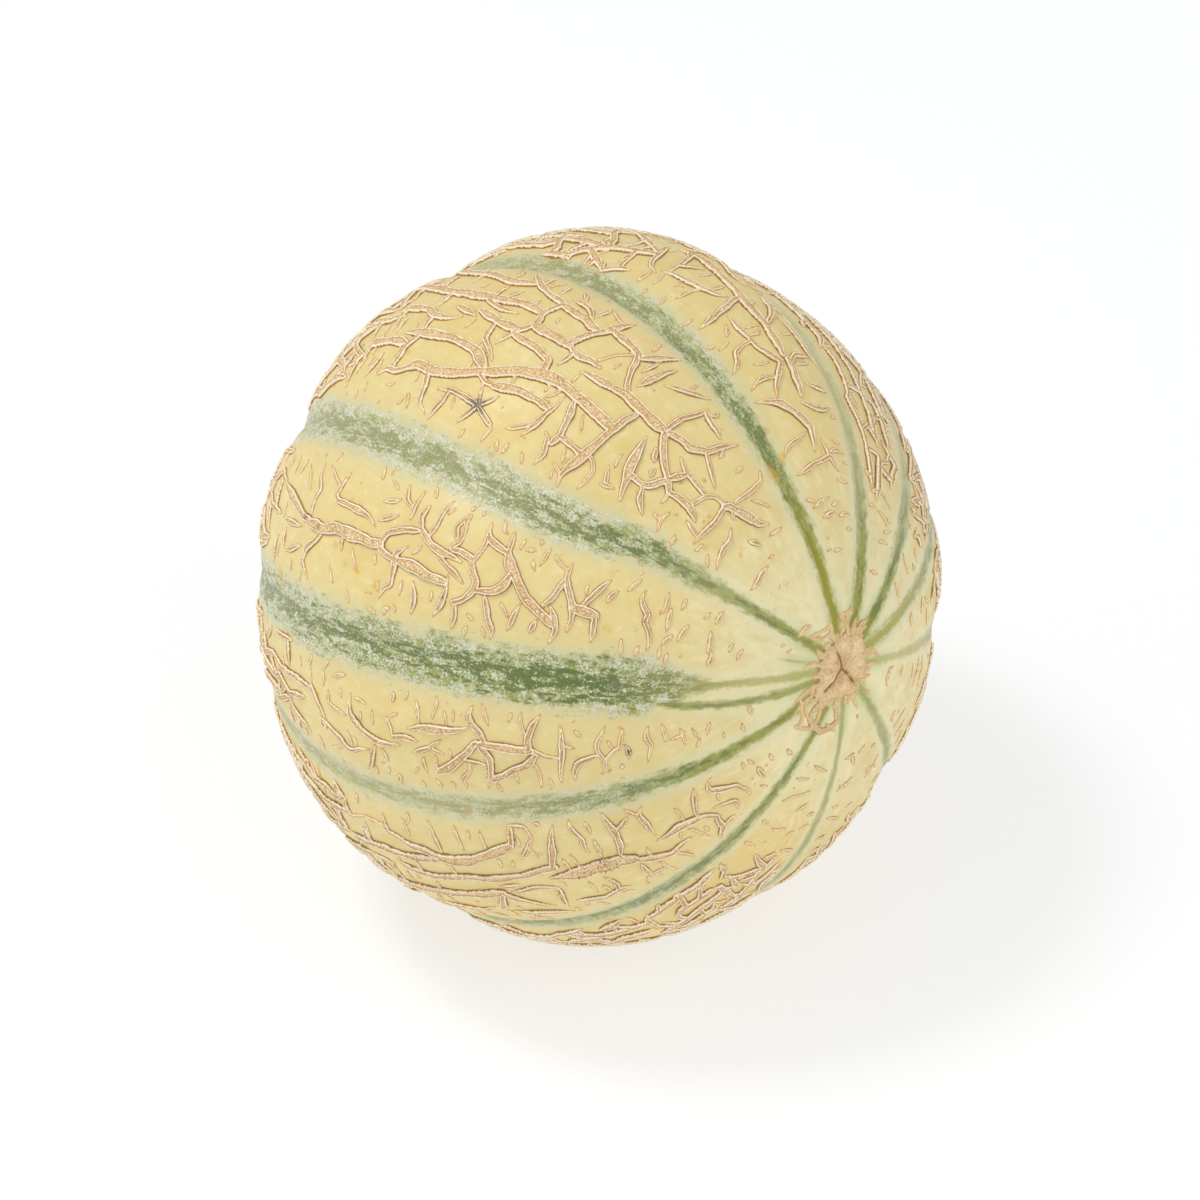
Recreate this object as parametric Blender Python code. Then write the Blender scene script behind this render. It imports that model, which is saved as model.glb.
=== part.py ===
"""A ribbed netted melon lying on its side, built as one closed solid.

The melon is a slightly flattened ball of revolution with eleven shallow
grooves running from end to end. The blossom end points along +X and a little
upwards. The melon rests on a small flat spot, whose middle is the origin.
"""

import math

import bmesh
import bpy
from mathutils import Vector

MM = 0.001

# The ball: half its width across the axis and half its length along it.
HALF_WIDTH = 70.3 * MM
HALF_LENGTH = 65.4 * MM

# How far the blossom end is tipped above the horizontal.
AXIS_TILT = math.radians(13.2)

# Each groove: its angle round the axis from the top, in degrees, its depth,
# and how far the lobe after it swells beyond the plain ball, in millimetres.
GROOVES = (
    (-171.5, 1.2, 0.7),
    (-135.0, 2.1, 0.3),
    (-98.0, 1.7, -0.5),
    (-70.5, 1.8, 0.8),
    (-40.0, 2.2, 2.0),
    (3.5, 2.0, 1.8),
    (37.0, 2.2, -1.3),
    (63.5, 1.2, -0.8),
    (87.0, 1.0, 0.9),
    (112.0, 1.3, 0.8),
    (150.5, 1.5, 0.9),
)

# A lower power makes the lobes rounder and the grooves between them sharper.
LOBE_POWER = 0.75

# The hollows at the two ends: depth and radius.
BLOSSOM_HOLLOW = (0.6 * MM, 9.0 * MM)
STEM_HOLLOW = (3.2 * MM, 13.0 * MM)

# The resting spot: the slice taken off, and how far the grooves stay faded.
FOOT_SLICE = 1.5 * MM
FOOT_FADE = 20.0 * MM

STEPS_PER_LOBE = 8
RINGS = 38

RIND_COLOUR = (0.80, 0.70, 0.30, 1.0)
RIND_ROUGHNESS = 0.5

AXIS = Vector((math.cos(AXIS_TILT), 0.0, math.sin(AXIS_TILT)))
CROWN = Vector((-math.sin(AXIS_TILT), 0.0, math.cos(AXIS_TILT)))
SIDE = Vector((0.0, 1.0, 0.0))


def lobe_span(index):
    """The start and width in degrees of the lobe after a groove."""
    start = GROOVES[index][0]
    if index + 1 < len(GROOVES):
        end = GROOVES[index + 1][0]
    else:
        end = GROOVES[0][0] + 360.0
    return start, end - start


def lobe_offset(index, part):
    """How far the surface stands off the ball, part way across a lobe."""
    bulge = (4.0 * part * (1.0 - part)) ** LOBE_POWER
    depth_here = GROOVES[index][1]
    depth_next = GROOVES[(index + 1) % len(GROOVES)][1]
    depth = depth_here + (depth_next - depth_here) * part
    swell = GROOVES[index][2]
    return (swell * bulge - depth * (1.0 - bulge)) * MM


def hollow(size, radius):
    """The depth of an end hollow at a distance from the axis."""
    depth, reach = size
    return depth * math.exp(-((radius / reach) ** 2))


def plain_point(along, radius, turn):
    """A point from its place along the axis, its radius and its angle."""
    across = CROWN * math.cos(turn) + SIDE * math.sin(turn)
    return AXIS * along + across * radius


def lowest_point():
    """The lowest point of the plain ball, with its centre at zero."""
    low_along = -(HALF_LENGTH**2) * AXIS.z
    low_radius = HALF_WIDTH**2 * CROWN.z
    scale = math.hypot(HALF_LENGTH * AXIS.z, HALF_WIDTH * CROWN.z)
    return plain_point(low_along / scale, low_radius / scale, math.pi)


def surface_point(polar, index, part, foot):
    """A point on the melon, from its angle to the axis and its lobe."""
    start, width = lobe_span(index)
    turn = math.radians(start + width * part)
    radius = HALF_WIDTH * math.sin(polar)
    along = HALF_LENGTH * math.cos(polar)
    plain = plain_point(along, radius, turn)
    fade = math.exp(-(((plain - foot).length / FOOT_FADE) ** 2))
    offset = lobe_offset(index, part) * (1.0 - fade) * math.sin(polar)
    along -= hollow(BLOSSOM_HOLLOW, radius) * (along > 0)
    along += hollow(STEM_HOLLOW, radius) * (along < 0)
    return plain_point(along, radius + offset, turn)


def build_skin(foot):
    """The closed ribbed ball as rings of points between two end points."""
    mesh = bmesh.new()
    rings = []
    for ring in range(1, RINGS):
        polar = math.pi * ring / RINGS
        row = []
        for index in range(len(GROOVES)):
            for step in range(STEPS_PER_LOBE):
                place = surface_point(polar, index, step / STEPS_PER_LOBE, foot)
                row.append(mesh.verts.new(place))
        rings.append(row)
    blossom = mesh.verts.new(AXIS * (HALF_LENGTH - BLOSSOM_HOLLOW[0]))
    stem = mesh.verts.new(-AXIS * (HALF_LENGTH - STEM_HOLLOW[0]))
    count = len(rings[0])
    for step in range(count):
        after = (step + 1) % count
        mesh.faces.new((blossom, rings[0][step], rings[0][after]))
        mesh.faces.new((stem, rings[-1][after], rings[-1][step]))
        for upper, lower in zip(rings, rings[1:]):
            corners = (upper[step], lower[step], lower[after], upper[after])
            mesh.faces.new(corners)
    bmesh.ops.recalc_face_normals(mesh, faces=mesh.faces)
    return mesh


def cut_foot(mesh, foot):
    """Slices the resting spot flat and stands its middle on the origin."""
    level = foot.z + FOOT_SLICE
    everything = list(mesh.verts) + list(mesh.edges) + list(mesh.faces)
    cut = bmesh.ops.bisect_plane(
        mesh,
        geom=everything,
        plane_co=(0.0, 0.0, level),
        plane_no=(0.0, 0.0, -1.0),
        clear_outer=True,
    )
    rim = [item for item in cut["geom_cut"] if isinstance(item, bmesh.types.BMEdge)]
    bmesh.ops.contextual_create(mesh, geom=rim)
    bmesh.ops.recalc_face_normals(mesh, faces=mesh.faces)
    for face in mesh.faces:
        face.smooth = len(face.verts) <= 4
    bmesh.ops.translate(mesh, verts=mesh.verts, vec=(-foot.x, -foot.y, -level))


def make_material():
    """The plain rind colour."""
    material = bpy.data.materials.new("rind")
    material.use_nodes = True
    shader = material.node_tree.nodes["Principled BSDF"]
    shader.inputs["Base Color"].default_value = RIND_COLOUR
    shader.inputs["Roughness"].default_value = RIND_ROUGHNESS
    shader.inputs["Metallic"].default_value = 0.0
    return material


def main():
    """Clears the file and adds the melon."""
    for item in list(bpy.data.objects):
        bpy.data.objects.remove(item, do_unlink=True)
    foot = lowest_point()
    mesh = build_skin(foot)
    cut_foot(mesh, foot)
    data = bpy.data.meshes.new("melon")
    mesh.to_mesh(data)
    mesh.free()
    data.materials.append(make_material())
    melon = bpy.data.objects.new("melon", data)
    bpy.context.scene.collection.objects.link(melon)


main()
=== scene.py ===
"""A striped netted cantaloupe melon, lying on its side on a pale floor.

The rind follows one rule: a slightly flattened ball with eleven grooves from
end to end. The cork net is grown as cracks inside each lobe, then raised from
the rind. Lengths are in metres unless a name ends in _MM or _mm.
"""

import math

import bpy
import numpy as np
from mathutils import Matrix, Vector


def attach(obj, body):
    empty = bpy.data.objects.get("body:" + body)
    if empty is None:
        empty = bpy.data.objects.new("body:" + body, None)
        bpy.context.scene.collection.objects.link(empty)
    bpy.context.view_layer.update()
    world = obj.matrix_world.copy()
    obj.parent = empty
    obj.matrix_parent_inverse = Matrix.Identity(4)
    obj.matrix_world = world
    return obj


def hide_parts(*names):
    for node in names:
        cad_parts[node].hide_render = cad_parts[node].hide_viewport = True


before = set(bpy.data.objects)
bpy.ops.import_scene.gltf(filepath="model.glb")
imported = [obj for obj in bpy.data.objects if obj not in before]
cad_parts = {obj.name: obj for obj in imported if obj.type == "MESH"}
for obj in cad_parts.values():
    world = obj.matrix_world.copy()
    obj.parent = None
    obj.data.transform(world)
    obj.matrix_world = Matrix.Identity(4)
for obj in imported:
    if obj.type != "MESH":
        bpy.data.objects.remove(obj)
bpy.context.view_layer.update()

MM = 0.001

# ---------------------------------------------------------------- the melon

# The ball: half its width across the axis and half its length along it.
HALF_WIDTH_MM = 70.3
HALF_LENGTH_MM = 65.4
AXIS_TILT = math.radians(13.2)

# Each groove, with the lobe that follows it: the groove's angle round the
# axis from the top and how far it leans by the far end, in degrees, then its
# depth and the lobe's swelling in millimetres.
GROOVES = (
    (-171.5, -1.0, 1.2, 0.7),
    (-135.0, 1.0, 2.1, 0.3),
    (-98.0, 4.0, 1.7, -0.5),
    (-70.5, 1.5, 1.8, 0.8),
    (-40.0, 3.5, 2.2, 2.0),
    (3.5, 1.0, 2.0, 1.8),
    (37.0, 1.0, 2.2, -1.3),
    (63.5, 0.5, 1.2, -0.8),
    (87.0, -2.0, 1.0, 0.9),
    (112.0, -1.0, 1.3, 0.8),
    (150.5, -2.5, 1.5, 0.9),
)

# The green stripe along each groove: half its width near the blossom end and
# further on, in millimetres, how olive it turns beside the blossom end, the
# angles to the axis over which it widens, and how strong its green is at each
# of the angles listed first.
STRIPE_ANGLES = (18.0, 30.0, 45.0, 75.0, 110.0)
STRIPES = (
    (0.7, 2.0, 0.5, 14.0, 48.0, (0.65, 0.60, 0.55, 0.55, 0.55)),
    (1.0, 2.0, 0.3, 14.0, 48.0, (0.90, 0.85, 0.75, 0.65, 0.60)),
    (1.1, 2.3, 0.45, 14.0, 48.0, (0.92, 0.95, 0.70, 0.44, 0.48)),
    (0.75, 4.7, 0.9, 25.0, 37.0, (0.58, 0.80, 0.93, 0.88, 0.90)),
    (1.0, 3.6, 0.15, 20.0, 56.0, (0.86, 0.78, 0.88, 0.60, 0.70)),
    (1.2, 2.4, 0.85, 14.0, 48.0, (1.00, 0.94, 0.84, 0.66, 0.46)),
    (1.55, 2.0, 0.55, 14.0, 48.0, (1.00, 0.60, 0.30, 0.24, 0.40)),
    (1.45, 2.2, 0.3, 14.0, 48.0, (0.98, 0.74, 0.24, 0.24, 0.40)),
    (1.25, 2.2, 1.0, 14.0, 48.0, (0.80, 0.75, 0.60, 0.55, 0.60)),
    (0.8, 2.4, 1.0, 14.0, 48.0, (0.55, 0.55, 0.55, 0.55, 0.55)),
    (1.0, 2.2, 0.4, 14.0, 48.0, (0.65, 0.65, 0.65, 0.65, 0.65)),
)
# Stripes that lie a little off their groove: how far in degrees near the
# blossom end and further on.
STRIPE_SHIFTS = {4: (3.2, 0.0), 5: (0.5, 1.2), 6: (0.6, 0.0), 7: (2.4, 0.0)}

# Thin side stripes that run into a groove: the groove, how far off it they
# start and end in degrees, the angles to the axis where they start and end,
# their half width in millimetres and their strength.
SIDE_STRIPES = (
    (3, -13.0, -4.5, 7.0, 37.0, 0.80, 0.80),
    (4, -16.0, -15.0, 6.0, 15.0, 0.35, 0.35),
)

# Yellow-orange marks on the skin: angle to the axis, angle round it, reach in
# millimetres and strength.
SKIN_MARKS = (
    (34.2, 1.5, 2.4, 1.0),
    (35.3, 7.0, 1.5, 0.9),
    (40.2, 7.2, 1.2, 0.9),
    (33.5, 22.5, 2.2, 0.8),
    (43.5, -58.3, 1.3, 1.0),
    (37.5, -54.0, 2.2, 0.8),
    (84.0, -60.3, 1.6, 0.8),
    (88.3, -58.8, 1.5, 1.0),
    (104.0, 1.5, 4.0, 0.5),
    (97.0, -81.5, 1.8, 0.6),
    (112.0, -64.0, 6.0, 0.5),
)

# A groove has none of its lean at the first angle to the axis, in degrees, and
# all of it so much further on.
LEAN_FROM = 60.0
LEAN_SPAN = 50.0

# How round a lobe's back is, and how deep and how wide the hollow at each end
# is. The foot is the flat on the floor: how much is cut away there, and how far
# round it the lobes fade.
LOBE_POWER = 0.75
BLOSSOM_HOLLOW_MM = (0.6, 9.0)
STEM_HOLLOW_MM = (3.2, 13.0)
FOOT_SLICE_MM = 1.5
FOOT_FADE_MM = 20.0
LUMP_MM = 0.35
LUMP_SCALE = 38.0

# The axis points to the blossom end. Angles round it start at the crown and
# run towards the side.
AXIS = Vector((math.cos(AXIS_TILT), 0.0, math.sin(AXIS_TILT)))
CROWN = Vector((-math.sin(AXIS_TILT), 0.0, math.cos(AXIS_TILT)))
SIDE = Vector((0.0, 1.0, 0.0))


def lowest_point():
    """The lowest point of the plain ball, with its centre at zero."""
    low_along = -(HALF_LENGTH_MM**2) * AXIS.z
    low_radius = HALF_WIDTH_MM**2 * CROWN.z
    scale = math.hypot(HALF_LENGTH_MM * AXIS.z, HALF_WIDTH_MM * CROWN.z)
    return (AXIS * low_along - CROWN * low_radius) * (MM / scale)


FOOT = lowest_point()
CENTRE = Vector((-FOOT.x, -FOOT.y, -FOOT.z - FOOT_SLICE_MM * MM))

LOBES = len(GROOVES)


def ramp(value, start, end):
    """0 as far as the start, 1 from the end on and even in between."""
    return np.clip((value - start) / (end - start), 0.0, 1.0)


def lean_at(polar):
    """How much of its lean a groove has taken at an angle to the axis."""
    return np.clip((np.degrees(polar) - LEAN_FROM) / LEAN_SPAN, -1.0, 1.4)


def groove_turn(index, polar):
    """The angle round the axis of a groove, in radians."""
    turn, lean = GROOVES[index % LOBES][:2]
    if index >= LOBES:
        turn += 360.0
    return np.radians(turn + lean * lean_at(polar))


def lobe_turn(index, polar, part):
    """The angle round the axis, part way across a lobe."""
    start = groove_turn(index, polar)
    return start + (groove_turn(index + 1, polar) - start) * part


def lobe_width_mm(index, polar):
    """The width of a lobe along the surface."""
    spread = groove_turn(index + 1, polar) - groove_turn(index, polar)
    return HALF_WIDTH_MM * np.sin(polar) * spread


def lobe_numbers(index, part):
    """What the surface rule needs to know of a lobe, part way across it."""
    depths = np.array([groove[2] for groove in GROOVES])
    swells = np.array([groove[3] for groove in GROOVES])
    here, after = depths[index], depths[(index + 1) % LOBES]
    swell = np.broadcast_to(swells[index] * MM, part.shape)
    return {"lobe_part": part, "swell": swell, "depth": (here + (after - here) * part) * MM}


def find_lobes(polar, turn):
    """The lobe at each place, and the share of its width there."""
    index = np.zeros(polar.shape, int)
    part = np.zeros(polar.shape)
    for lobe in range(LOBES):
        start = groove_turn(lobe, polar)
        width = groove_turn(lobe + 1, polar) - start
        share = np.mod(turn - start, 2.0 * math.pi) / width
        here = share < 1.0
        index[here] = lobe
        part[here] = share[here]
    return index, part


def spot_field(polar, turn, spots):
    """How near each place is to a few spots, 1 at a spot's middle."""
    field = np.zeros(polar.shape)
    for spot_polar, spot_turn, reach, strength in spots:
        down = (polar - math.radians(spot_polar)) * HALF_LENGTH_MM
        over = np.mod(turn - math.radians(spot_turn) + math.pi, 2.0 * math.pi)
        over = (over - math.pi) * HALF_WIDTH_MM * np.sin(polar)
        near = np.clip(1.0 - np.hypot(down, over) / reach, 0.0, 1.0)
        field = np.maximum(field, near * strength)
    return field


# ------------------------------------------------------------- node helpers


def arithmetic(operation, swapped=False):
    """An arithmetic sign between two numbers, as one more node."""

    def join(this, other):
        pair = (other, this) if swapped else (this, other)
        return this.tree.math(operation, *pair)

    return join


class Value:
    """A node's result, which takes part in plain arithmetic."""

    def __init__(self, tree, socket):
        self.tree, self.socket = tree, socket

    __add__, __radd__ = arithmetic("ADD"), arithmetic("ADD", True)
    __sub__, __rsub__ = arithmetic("SUBTRACT"), arithmetic("SUBTRACT", True)
    __mul__, __rmul__ = arithmetic("MULTIPLY"), arithmetic("MULTIPLY", True)
    __truediv__ = arithmetic("DIVIDE")


class Tree:
    """Short ways to add and join nodes in one tree."""

    def __init__(self, tree):
        self.tree = tree

    def add(self, kind, **settings):
        """A new node with some of its settings."""
        node = self.tree.nodes.new(kind)
        for name, value in settings.items():
            setattr(node, name, value)
        return node

    def feed(self, socket, value):
        """Joins a socket to a node's result, or gives it a plain value."""
        if isinstance(value, Value):
            self.tree.links.new(value.socket, socket)
        elif value is not None:
            socket.default_value = value

    def fill(self, node, given, key):
        """Feeds some of a node's inputs and returns one of its results."""
        for name, value in given.items():
            self.feed(node.inputs[name], value)
        return Value(self, node.outputs[key])

    def use(self, kind, given, key, **settings):
        """A new node, fed, and one of its results."""
        return self.fill(self.add(kind, **settings), given, key)

    def math(self, operation, first, second=None):
        """One step of arithmetic."""
        node = self.add("ShaderNodeMath", operation=operation)
        return self.fill(node, {0: first, 1: second}, 0)

    def fading(self, ratio):
        """A bell that is 1 at zero and fades with the ratio."""
        return self.math("EXPONENT", ratio * ratio * -1.0)

    def vector(self, operation, first, second=None):
        """One step of vector arithmetic."""
        node = self.add("ShaderNodeVectorMath", operation=operation)
        other = "Scale" if operation == "SCALE" else 1
        key = "Value" if operation == "DISTANCE" else "Vector"
        return self.fill(node, {0: first, other: second}, key)

    def step(self, value, low, high, bottom=0.0, top=1.0):
        """A soft step from one level to another."""
        node = self.add("ShaderNodeMapRange", interpolation_type="SMOOTHSTEP")
        return self.fill(node, {0: value, 1: low, 2: high, 3: bottom, 4: top}, 0)

    def noise(self, place, scale, detail=2.0, roughness=0.5, shift=0.0, swirl=0.0):
        """Soft random variation between 0 and 1."""
        node = self.add("ShaderNodeTexNoise", noise_dimensions="4D")
        given = {"Vector": place, "W": shift, "Scale": scale, "Detail": detail}
        return self.fill(node, {**given, "Roughness": roughness, "Distortion": swirl}, 0)

    def join_numbers(self, *numbers):
        """Three numbers as one vector."""
        return self.use("ShaderNodeCombineXYZ", dict(enumerate(numbers)), 0)

    def cells(self, place, scale):
        """Distance to the nearest of many scattered points."""
        node = self.add("ShaderNodeTexVoronoi")
        return self.fill(node, {"Vector": place, "Scale": scale}, "Distance")

    def blend(self, share, first, second, mode="MIX"):
        """A mix of two colours."""
        node = self.add("ShaderNodeMix", data_type="RGBA", blend_type=mode)
        return self.fill(node, {0: share, 6: first, 7: second}, 2)


# ------------------------------------------------------ the melon's surface


def named_float(tree, name):
    """A number kept on each point of a mesh."""
    kind = "GeometryNodeInputNamedAttribute"
    return tree.use(kind, {"Name": name}, "Attribute", data_type="FLOAT")


def number_inputs(sizes):
    """Number inputs with their usual values."""
    return [(name, "Float", "INPUT", value) for name, value in sizes]


def start_group(name, sockets):
    """A new group of nodes: its tree, what it is given and its result."""
    group = bpy.data.node_groups.new(name, "GeometryNodeTree")
    for label, kind, side, value in sockets:
        kind = "NodeSocket" + kind
        socket = group.interface.new_socket(name=label, in_out=side, socket_type=kind)
        if value is not None:
            socket.default_value = value
    tree = Tree(group)
    outputs = tree.add("NodeGroupInput").outputs
    given = {socket.name: Value(tree, socket) for socket in outputs}
    return group, tree, given, tree.add("NodeGroupOutput")


def surface_group():
    """The rule of the melon's surface, from angles kept on the points.

    A point's place comes from its angle to the axis and its angle round it,
    then moves out by the lobe's offset, a few soft lumps and its own rise.
    """
    sizes = (
        ("Half width", HALF_WIDTH_MM * MM),
        ("Half length", HALF_LENGTH_MM * MM),
        ("Lobe power", LOBE_POWER),
        ("Lump height", LUMP_MM * MM),
        ("Foot fade", FOOT_FADE_MM * MM),
        ("Rise", 0.0),
    )
    sockets = number_inputs(sizes) + [("Position", "Vector", "OUTPUT", None)]
    group, tree, given, result = start_group("Melon surface", sockets)
    polar = named_float(tree, "polar")
    turn = named_float(tree, "turn")
    part = named_float(tree, "lobe_part")
    sine = tree.math("SINE", polar)
    cosine = tree.math("COSINE", polar)
    radius = given["Half width"] * sine
    along = given["Half length"] * cosine
    up_part = tree.vector("SCALE", tuple(CROWN), tree.math("COSINE", turn))
    side_part = tree.vector("SCALE", tuple(SIDE), tree.math("SINE", turn))
    across = tree.vector("ADD", up_part, side_part)
    plain_along = tree.vector("SCALE", tuple(AXIS), along)
    plain = tree.vector("ADD", plain_along, tree.vector("SCALE", across, radius))

    away = tree.vector("DISTANCE", plain, tuple(FOOT))
    free = 1.0 - tree.fading(away / given["Foot fade"])
    hump = tree.math("MAXIMUM", part * (1.0 - part) * 4.0, 0.0)
    bulge = tree.math("POWER", hump, given["Lobe power"])
    high = named_float(tree, "swell") * bulge
    low = named_float(tree, "depth") * (1.0 - bulge)
    lumps = (tree.noise(plain, LUMP_SCALE, 1.0) - 0.5) * given["Lump height"]
    offset = (high - low + lumps * 2.0) * (free * sine)

    for sign, (deep, reach) in ((1.0, BLOSSOM_HOLLOW_MM), (-1.0, STEM_HOLLOW_MM)):
        dent = tree.fading(radius / (reach * MM)) * (deep * MM)
        here = tree.math("GREATER_THAN", cosine * sign, 0.0)
        along = along - dent * here * sign

    full = radius + offset
    place = tree.vector("SCALE", tuple(AXIS), along)
    place = tree.vector("ADD", place, tree.vector("SCALE", across, full))
    lean = cosine / given["Half length"]
    spread = sine / given["Half width"]
    out = tree.vector("SCALE", tuple(AXIS), lean)
    out = tree.vector("ADD", out, tree.vector("SCALE", across, spread))
    out = tree.vector("NORMALIZE", out)
    place = tree.vector("ADD", place, tree.vector("SCALE", out, given["Rise"]))
    place = tree.vector("ADD", place, tuple(CENTRE))
    place = tree.vector("MAXIMUM", place, (-1.0, -1.0, 0.0))
    tree.feed(result.inputs["Position"], place)
    return group


def finish_tree(tree, given, result, geometry):
    """Smooth shading, real geometry and the material end every tree."""
    for kind in ("SetShadeSmooth", "RealizeInstances", "SetMaterial"):
        coat = tree.add("GeometryNode" + kind)
        geometry = tree.fill(coat, {"Geometry": geometry}, "Geometry")
    tree.feed(coat.inputs["Material"], given["Material"])
    tree.feed(result.inputs["Geometry"], geometry)


def start_tree(name, sizes):
    """A new geometry tree with named sizes and a material."""
    ends = [("Geometry", "Geometry", side, None) for side in ("INPUT", "OUTPUT")]
    coat = [("Material", "Material", "INPUT", None)]
    return start_group(name, ends + number_inputs(sizes) + coat)


def place_points(tree, surface, geometry, **given):
    """Moves points to where the melon's surface rule puts them."""
    rule = tree.use("GeometryNodeGroup", given, "Position", node_tree=surface)
    moved = {"Geometry": geometry, "Position": rule}
    return tree.use("GeometryNodeSetPosition", moved, "Geometry")


def rind_tree(surface):
    """Lays a mesh of angles on the melon's surface and closes its ends."""
    sizes = (("Closing gap", 0.004 * MM),)
    group, tree, given, result = start_tree("Rind", sizes)
    moved = place_points(tree, surface, given["Geometry"])
    closing = {"Geometry": moved, "Distance": given["Closing gap"]}
    closed = tree.use("GeometryNodeMergeByDistance", closing, "Geometry")
    finish_tree(tree, given, result, closed)
    return group


def random_number(tree, low, high, seed):
    """A different number for each point."""
    node = tree.add("FunctionNodeRandomValue", data_type="FLOAT")
    for socket in node.inputs:
        if socket.type == "VALUE" and socket.name == "Min":
            tree.feed(socket, low)
        elif socket.type == "VALUE" and socket.name == "Max":
            tree.feed(socket, high)
        elif socket.name == "Seed":
            tree.feed(socket, seed)
    return Value(tree, next(socket for socket in node.outputs if socket.type == "VALUE"))


FLECK_SEED = 11


def fleck_tree():
    """Scatters small raised flecks over the skin, thickest where marked."""
    sizes = (
        ("Most per square metre", 16000.0),
        ("Smallest", 0.26 * MM),
        ("Largest", 0.62 * MM),
        ("Height", 0.16 * MM),
    )
    group, tree, given, result = start_tree("Cork flecks", sizes)
    density = named_float(tree, "fleck") * given["Most per square metre"]
    spread = tree.add("GeometryNodeDistributePointsOnFaces", distribute_method="RANDOM")
    scattered = {"Mesh": given["Geometry"], "Density": density, "Seed": FLECK_SEED}
    points = tree.fill(spread, scattered, "Points")
    turn = Value(tree, spread.outputs["Rotation"])
    bead = {"Radius": 1.0, "Subdivisions": 1}
    bead = tree.use("GeometryNodeMeshIcoSphere", bead, "Mesh")
    long_side = random_number(tree, given["Smallest"], given["Largest"], 3)
    short_side = long_side * random_number(tree, 0.45, 0.85, 5)
    size = tree.join_numbers(long_side, short_side, given["Height"])
    placed = {"Points": points, "Instance": bead, "Rotation": turn, "Scale": size}
    beads = tree.use("GeometryNodeInstanceOnPoints", placed, "Instances")
    spin = tree.join_numbers(0.0, 0.0, random_number(tree, 0.0, 2.0 * math.pi, 7))
    turned = {"Instances": beads, "Rotation": spin}
    beads = tree.use("GeometryNodeRotateInstances", turned, "Instances")
    finish_tree(tree, given, result, beads)
    return group


def cork_tree(surface):
    """Raises ribbons of cork with lifted lips and a lower rough middle."""
    sizes = (
        ("Lip height", 0.72 * MM),
        ("Lip width", 0.25),
        ("Wall width", 0.16),
        ("Middle level", 0.60),
        ("Foot height", 0.03 * MM),
        ("Foot width", 0.20),
        ("Grain height", 0.13 * MM),
        ("Crack depth", 0.42 * MM),
    )
    group, tree, given, result = start_tree("Raised cork", sizes)
    edge = named_float(tree, "edge")
    size = named_float(tree, "size")
    here = tree.use("GeometryNodeInputPosition", {}, 0)
    base = place_points(tree, surface, given["Geometry"])

    bold = tree.step(size, 0.10, 0.95, 0.35, 1.0)
    wall = tree.step(edge, -0.03, given["Wall width"])
    lip = wall * bold * given["Lip height"]
    inner = tree.math("MINIMUM", given["Lip width"], size * 0.42)
    lowered = tree.step(edge, inner, inner + 0.22)
    lowered = lowered * (1.0 - given["Middle level"])
    lip = lip * (1.0 - lowered * (1.0 - named_float(tree, "seam")))
    grain = tree.noise(here, 1500.0, 2.0, 0.6) - 0.5
    rough = wall + named_float(tree, "pits") * 3.0
    grain = grain * rough * 2.0 * given["Grain height"]
    relief = named_float(tree, "relief") * wall
    crack = named_float(tree, "crack") * given["Crack depth"]
    outside = given["Foot width"] * -1.0
    buried = tree.step(edge, outside - 0.1, outside, -0.30 * MM, 0.0)
    rise = tree.math("MAXIMUM", lip + grain + relief - crack, 0.0)
    rise = rise + given["Foot height"] + buried
    finish_tree(tree, given, result, place_points(tree, surface, base, Rise=rise))
    return group


# ------------------------------------------------------------ mesh building


def skin_mesh(name, polar, turn, values, kept=None, closed=False):
    """A mesh from a grid of angles, with numbers kept on its points.

    Rows run from the blossom end and columns run round the axis. Only the
    kept cells are made. A closed grid joins its last column to its first.
    The grid itself is also the flat layout of the mesh's colours.
    """
    rows, columns = polar.shape
    wide = columns if closed else columns - 1
    if kept is None:
        kept = np.ones((rows - 1, wide), bool)
    row, column = np.nonzero(kept)
    after = (column + 1) % columns
    corner = (
        row * columns + column,
        row * columns + after,
        (row + 1) * columns + after,
        (row + 1) * columns + column,
    )
    corners = np.stack(corner, 1)
    used, flat = np.unique(corners, return_inverse=True)
    loops = flat.reshape(-1).astype(np.int32)
    mesh = bpy.data.meshes.new(name)
    mesh.vertices.add(len(used))
    mesh.loops.add(len(loops))
    mesh.polygons.add(len(corners))
    mesh.loops.foreach_set("vertex_index", loops)
    starts = np.arange(0, len(loops), 4, dtype=np.int32)
    mesh.polygons.foreach_set("loop_start", starts)
    rough = np.zeros((len(used), 3), np.float32)
    rough[:, 0] = turn.ravel()[used]
    rough[:, 1] = polar.ravel()[used]
    mesh.vertices.foreach_set("co", rough.ravel())
    mesh.update(calc_edges=True)
    kept_values = dict(values, polar=polar, turn=turn)
    for label, field in kept_values.items():
        store = mesh.attributes.new(label, "FLOAT", "POINT")
        numbers = np.broadcast_to(field, polar.shape).ravel()[used]
        store.data.foreach_set("value", numbers.astype(np.float32))
    over = np.stack([column, column + 1, column + 1, column], 1) / wide
    down = np.stack([row, row, row + 1, row + 1], 1) / (rows - 1)
    layout = mesh.uv_layers.new(name="OFBake")
    flat_places = np.stack([over, down], 2).astype(np.float32)
    layout.data.foreach_set("uv", flat_places.ravel())
    return mesh


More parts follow.
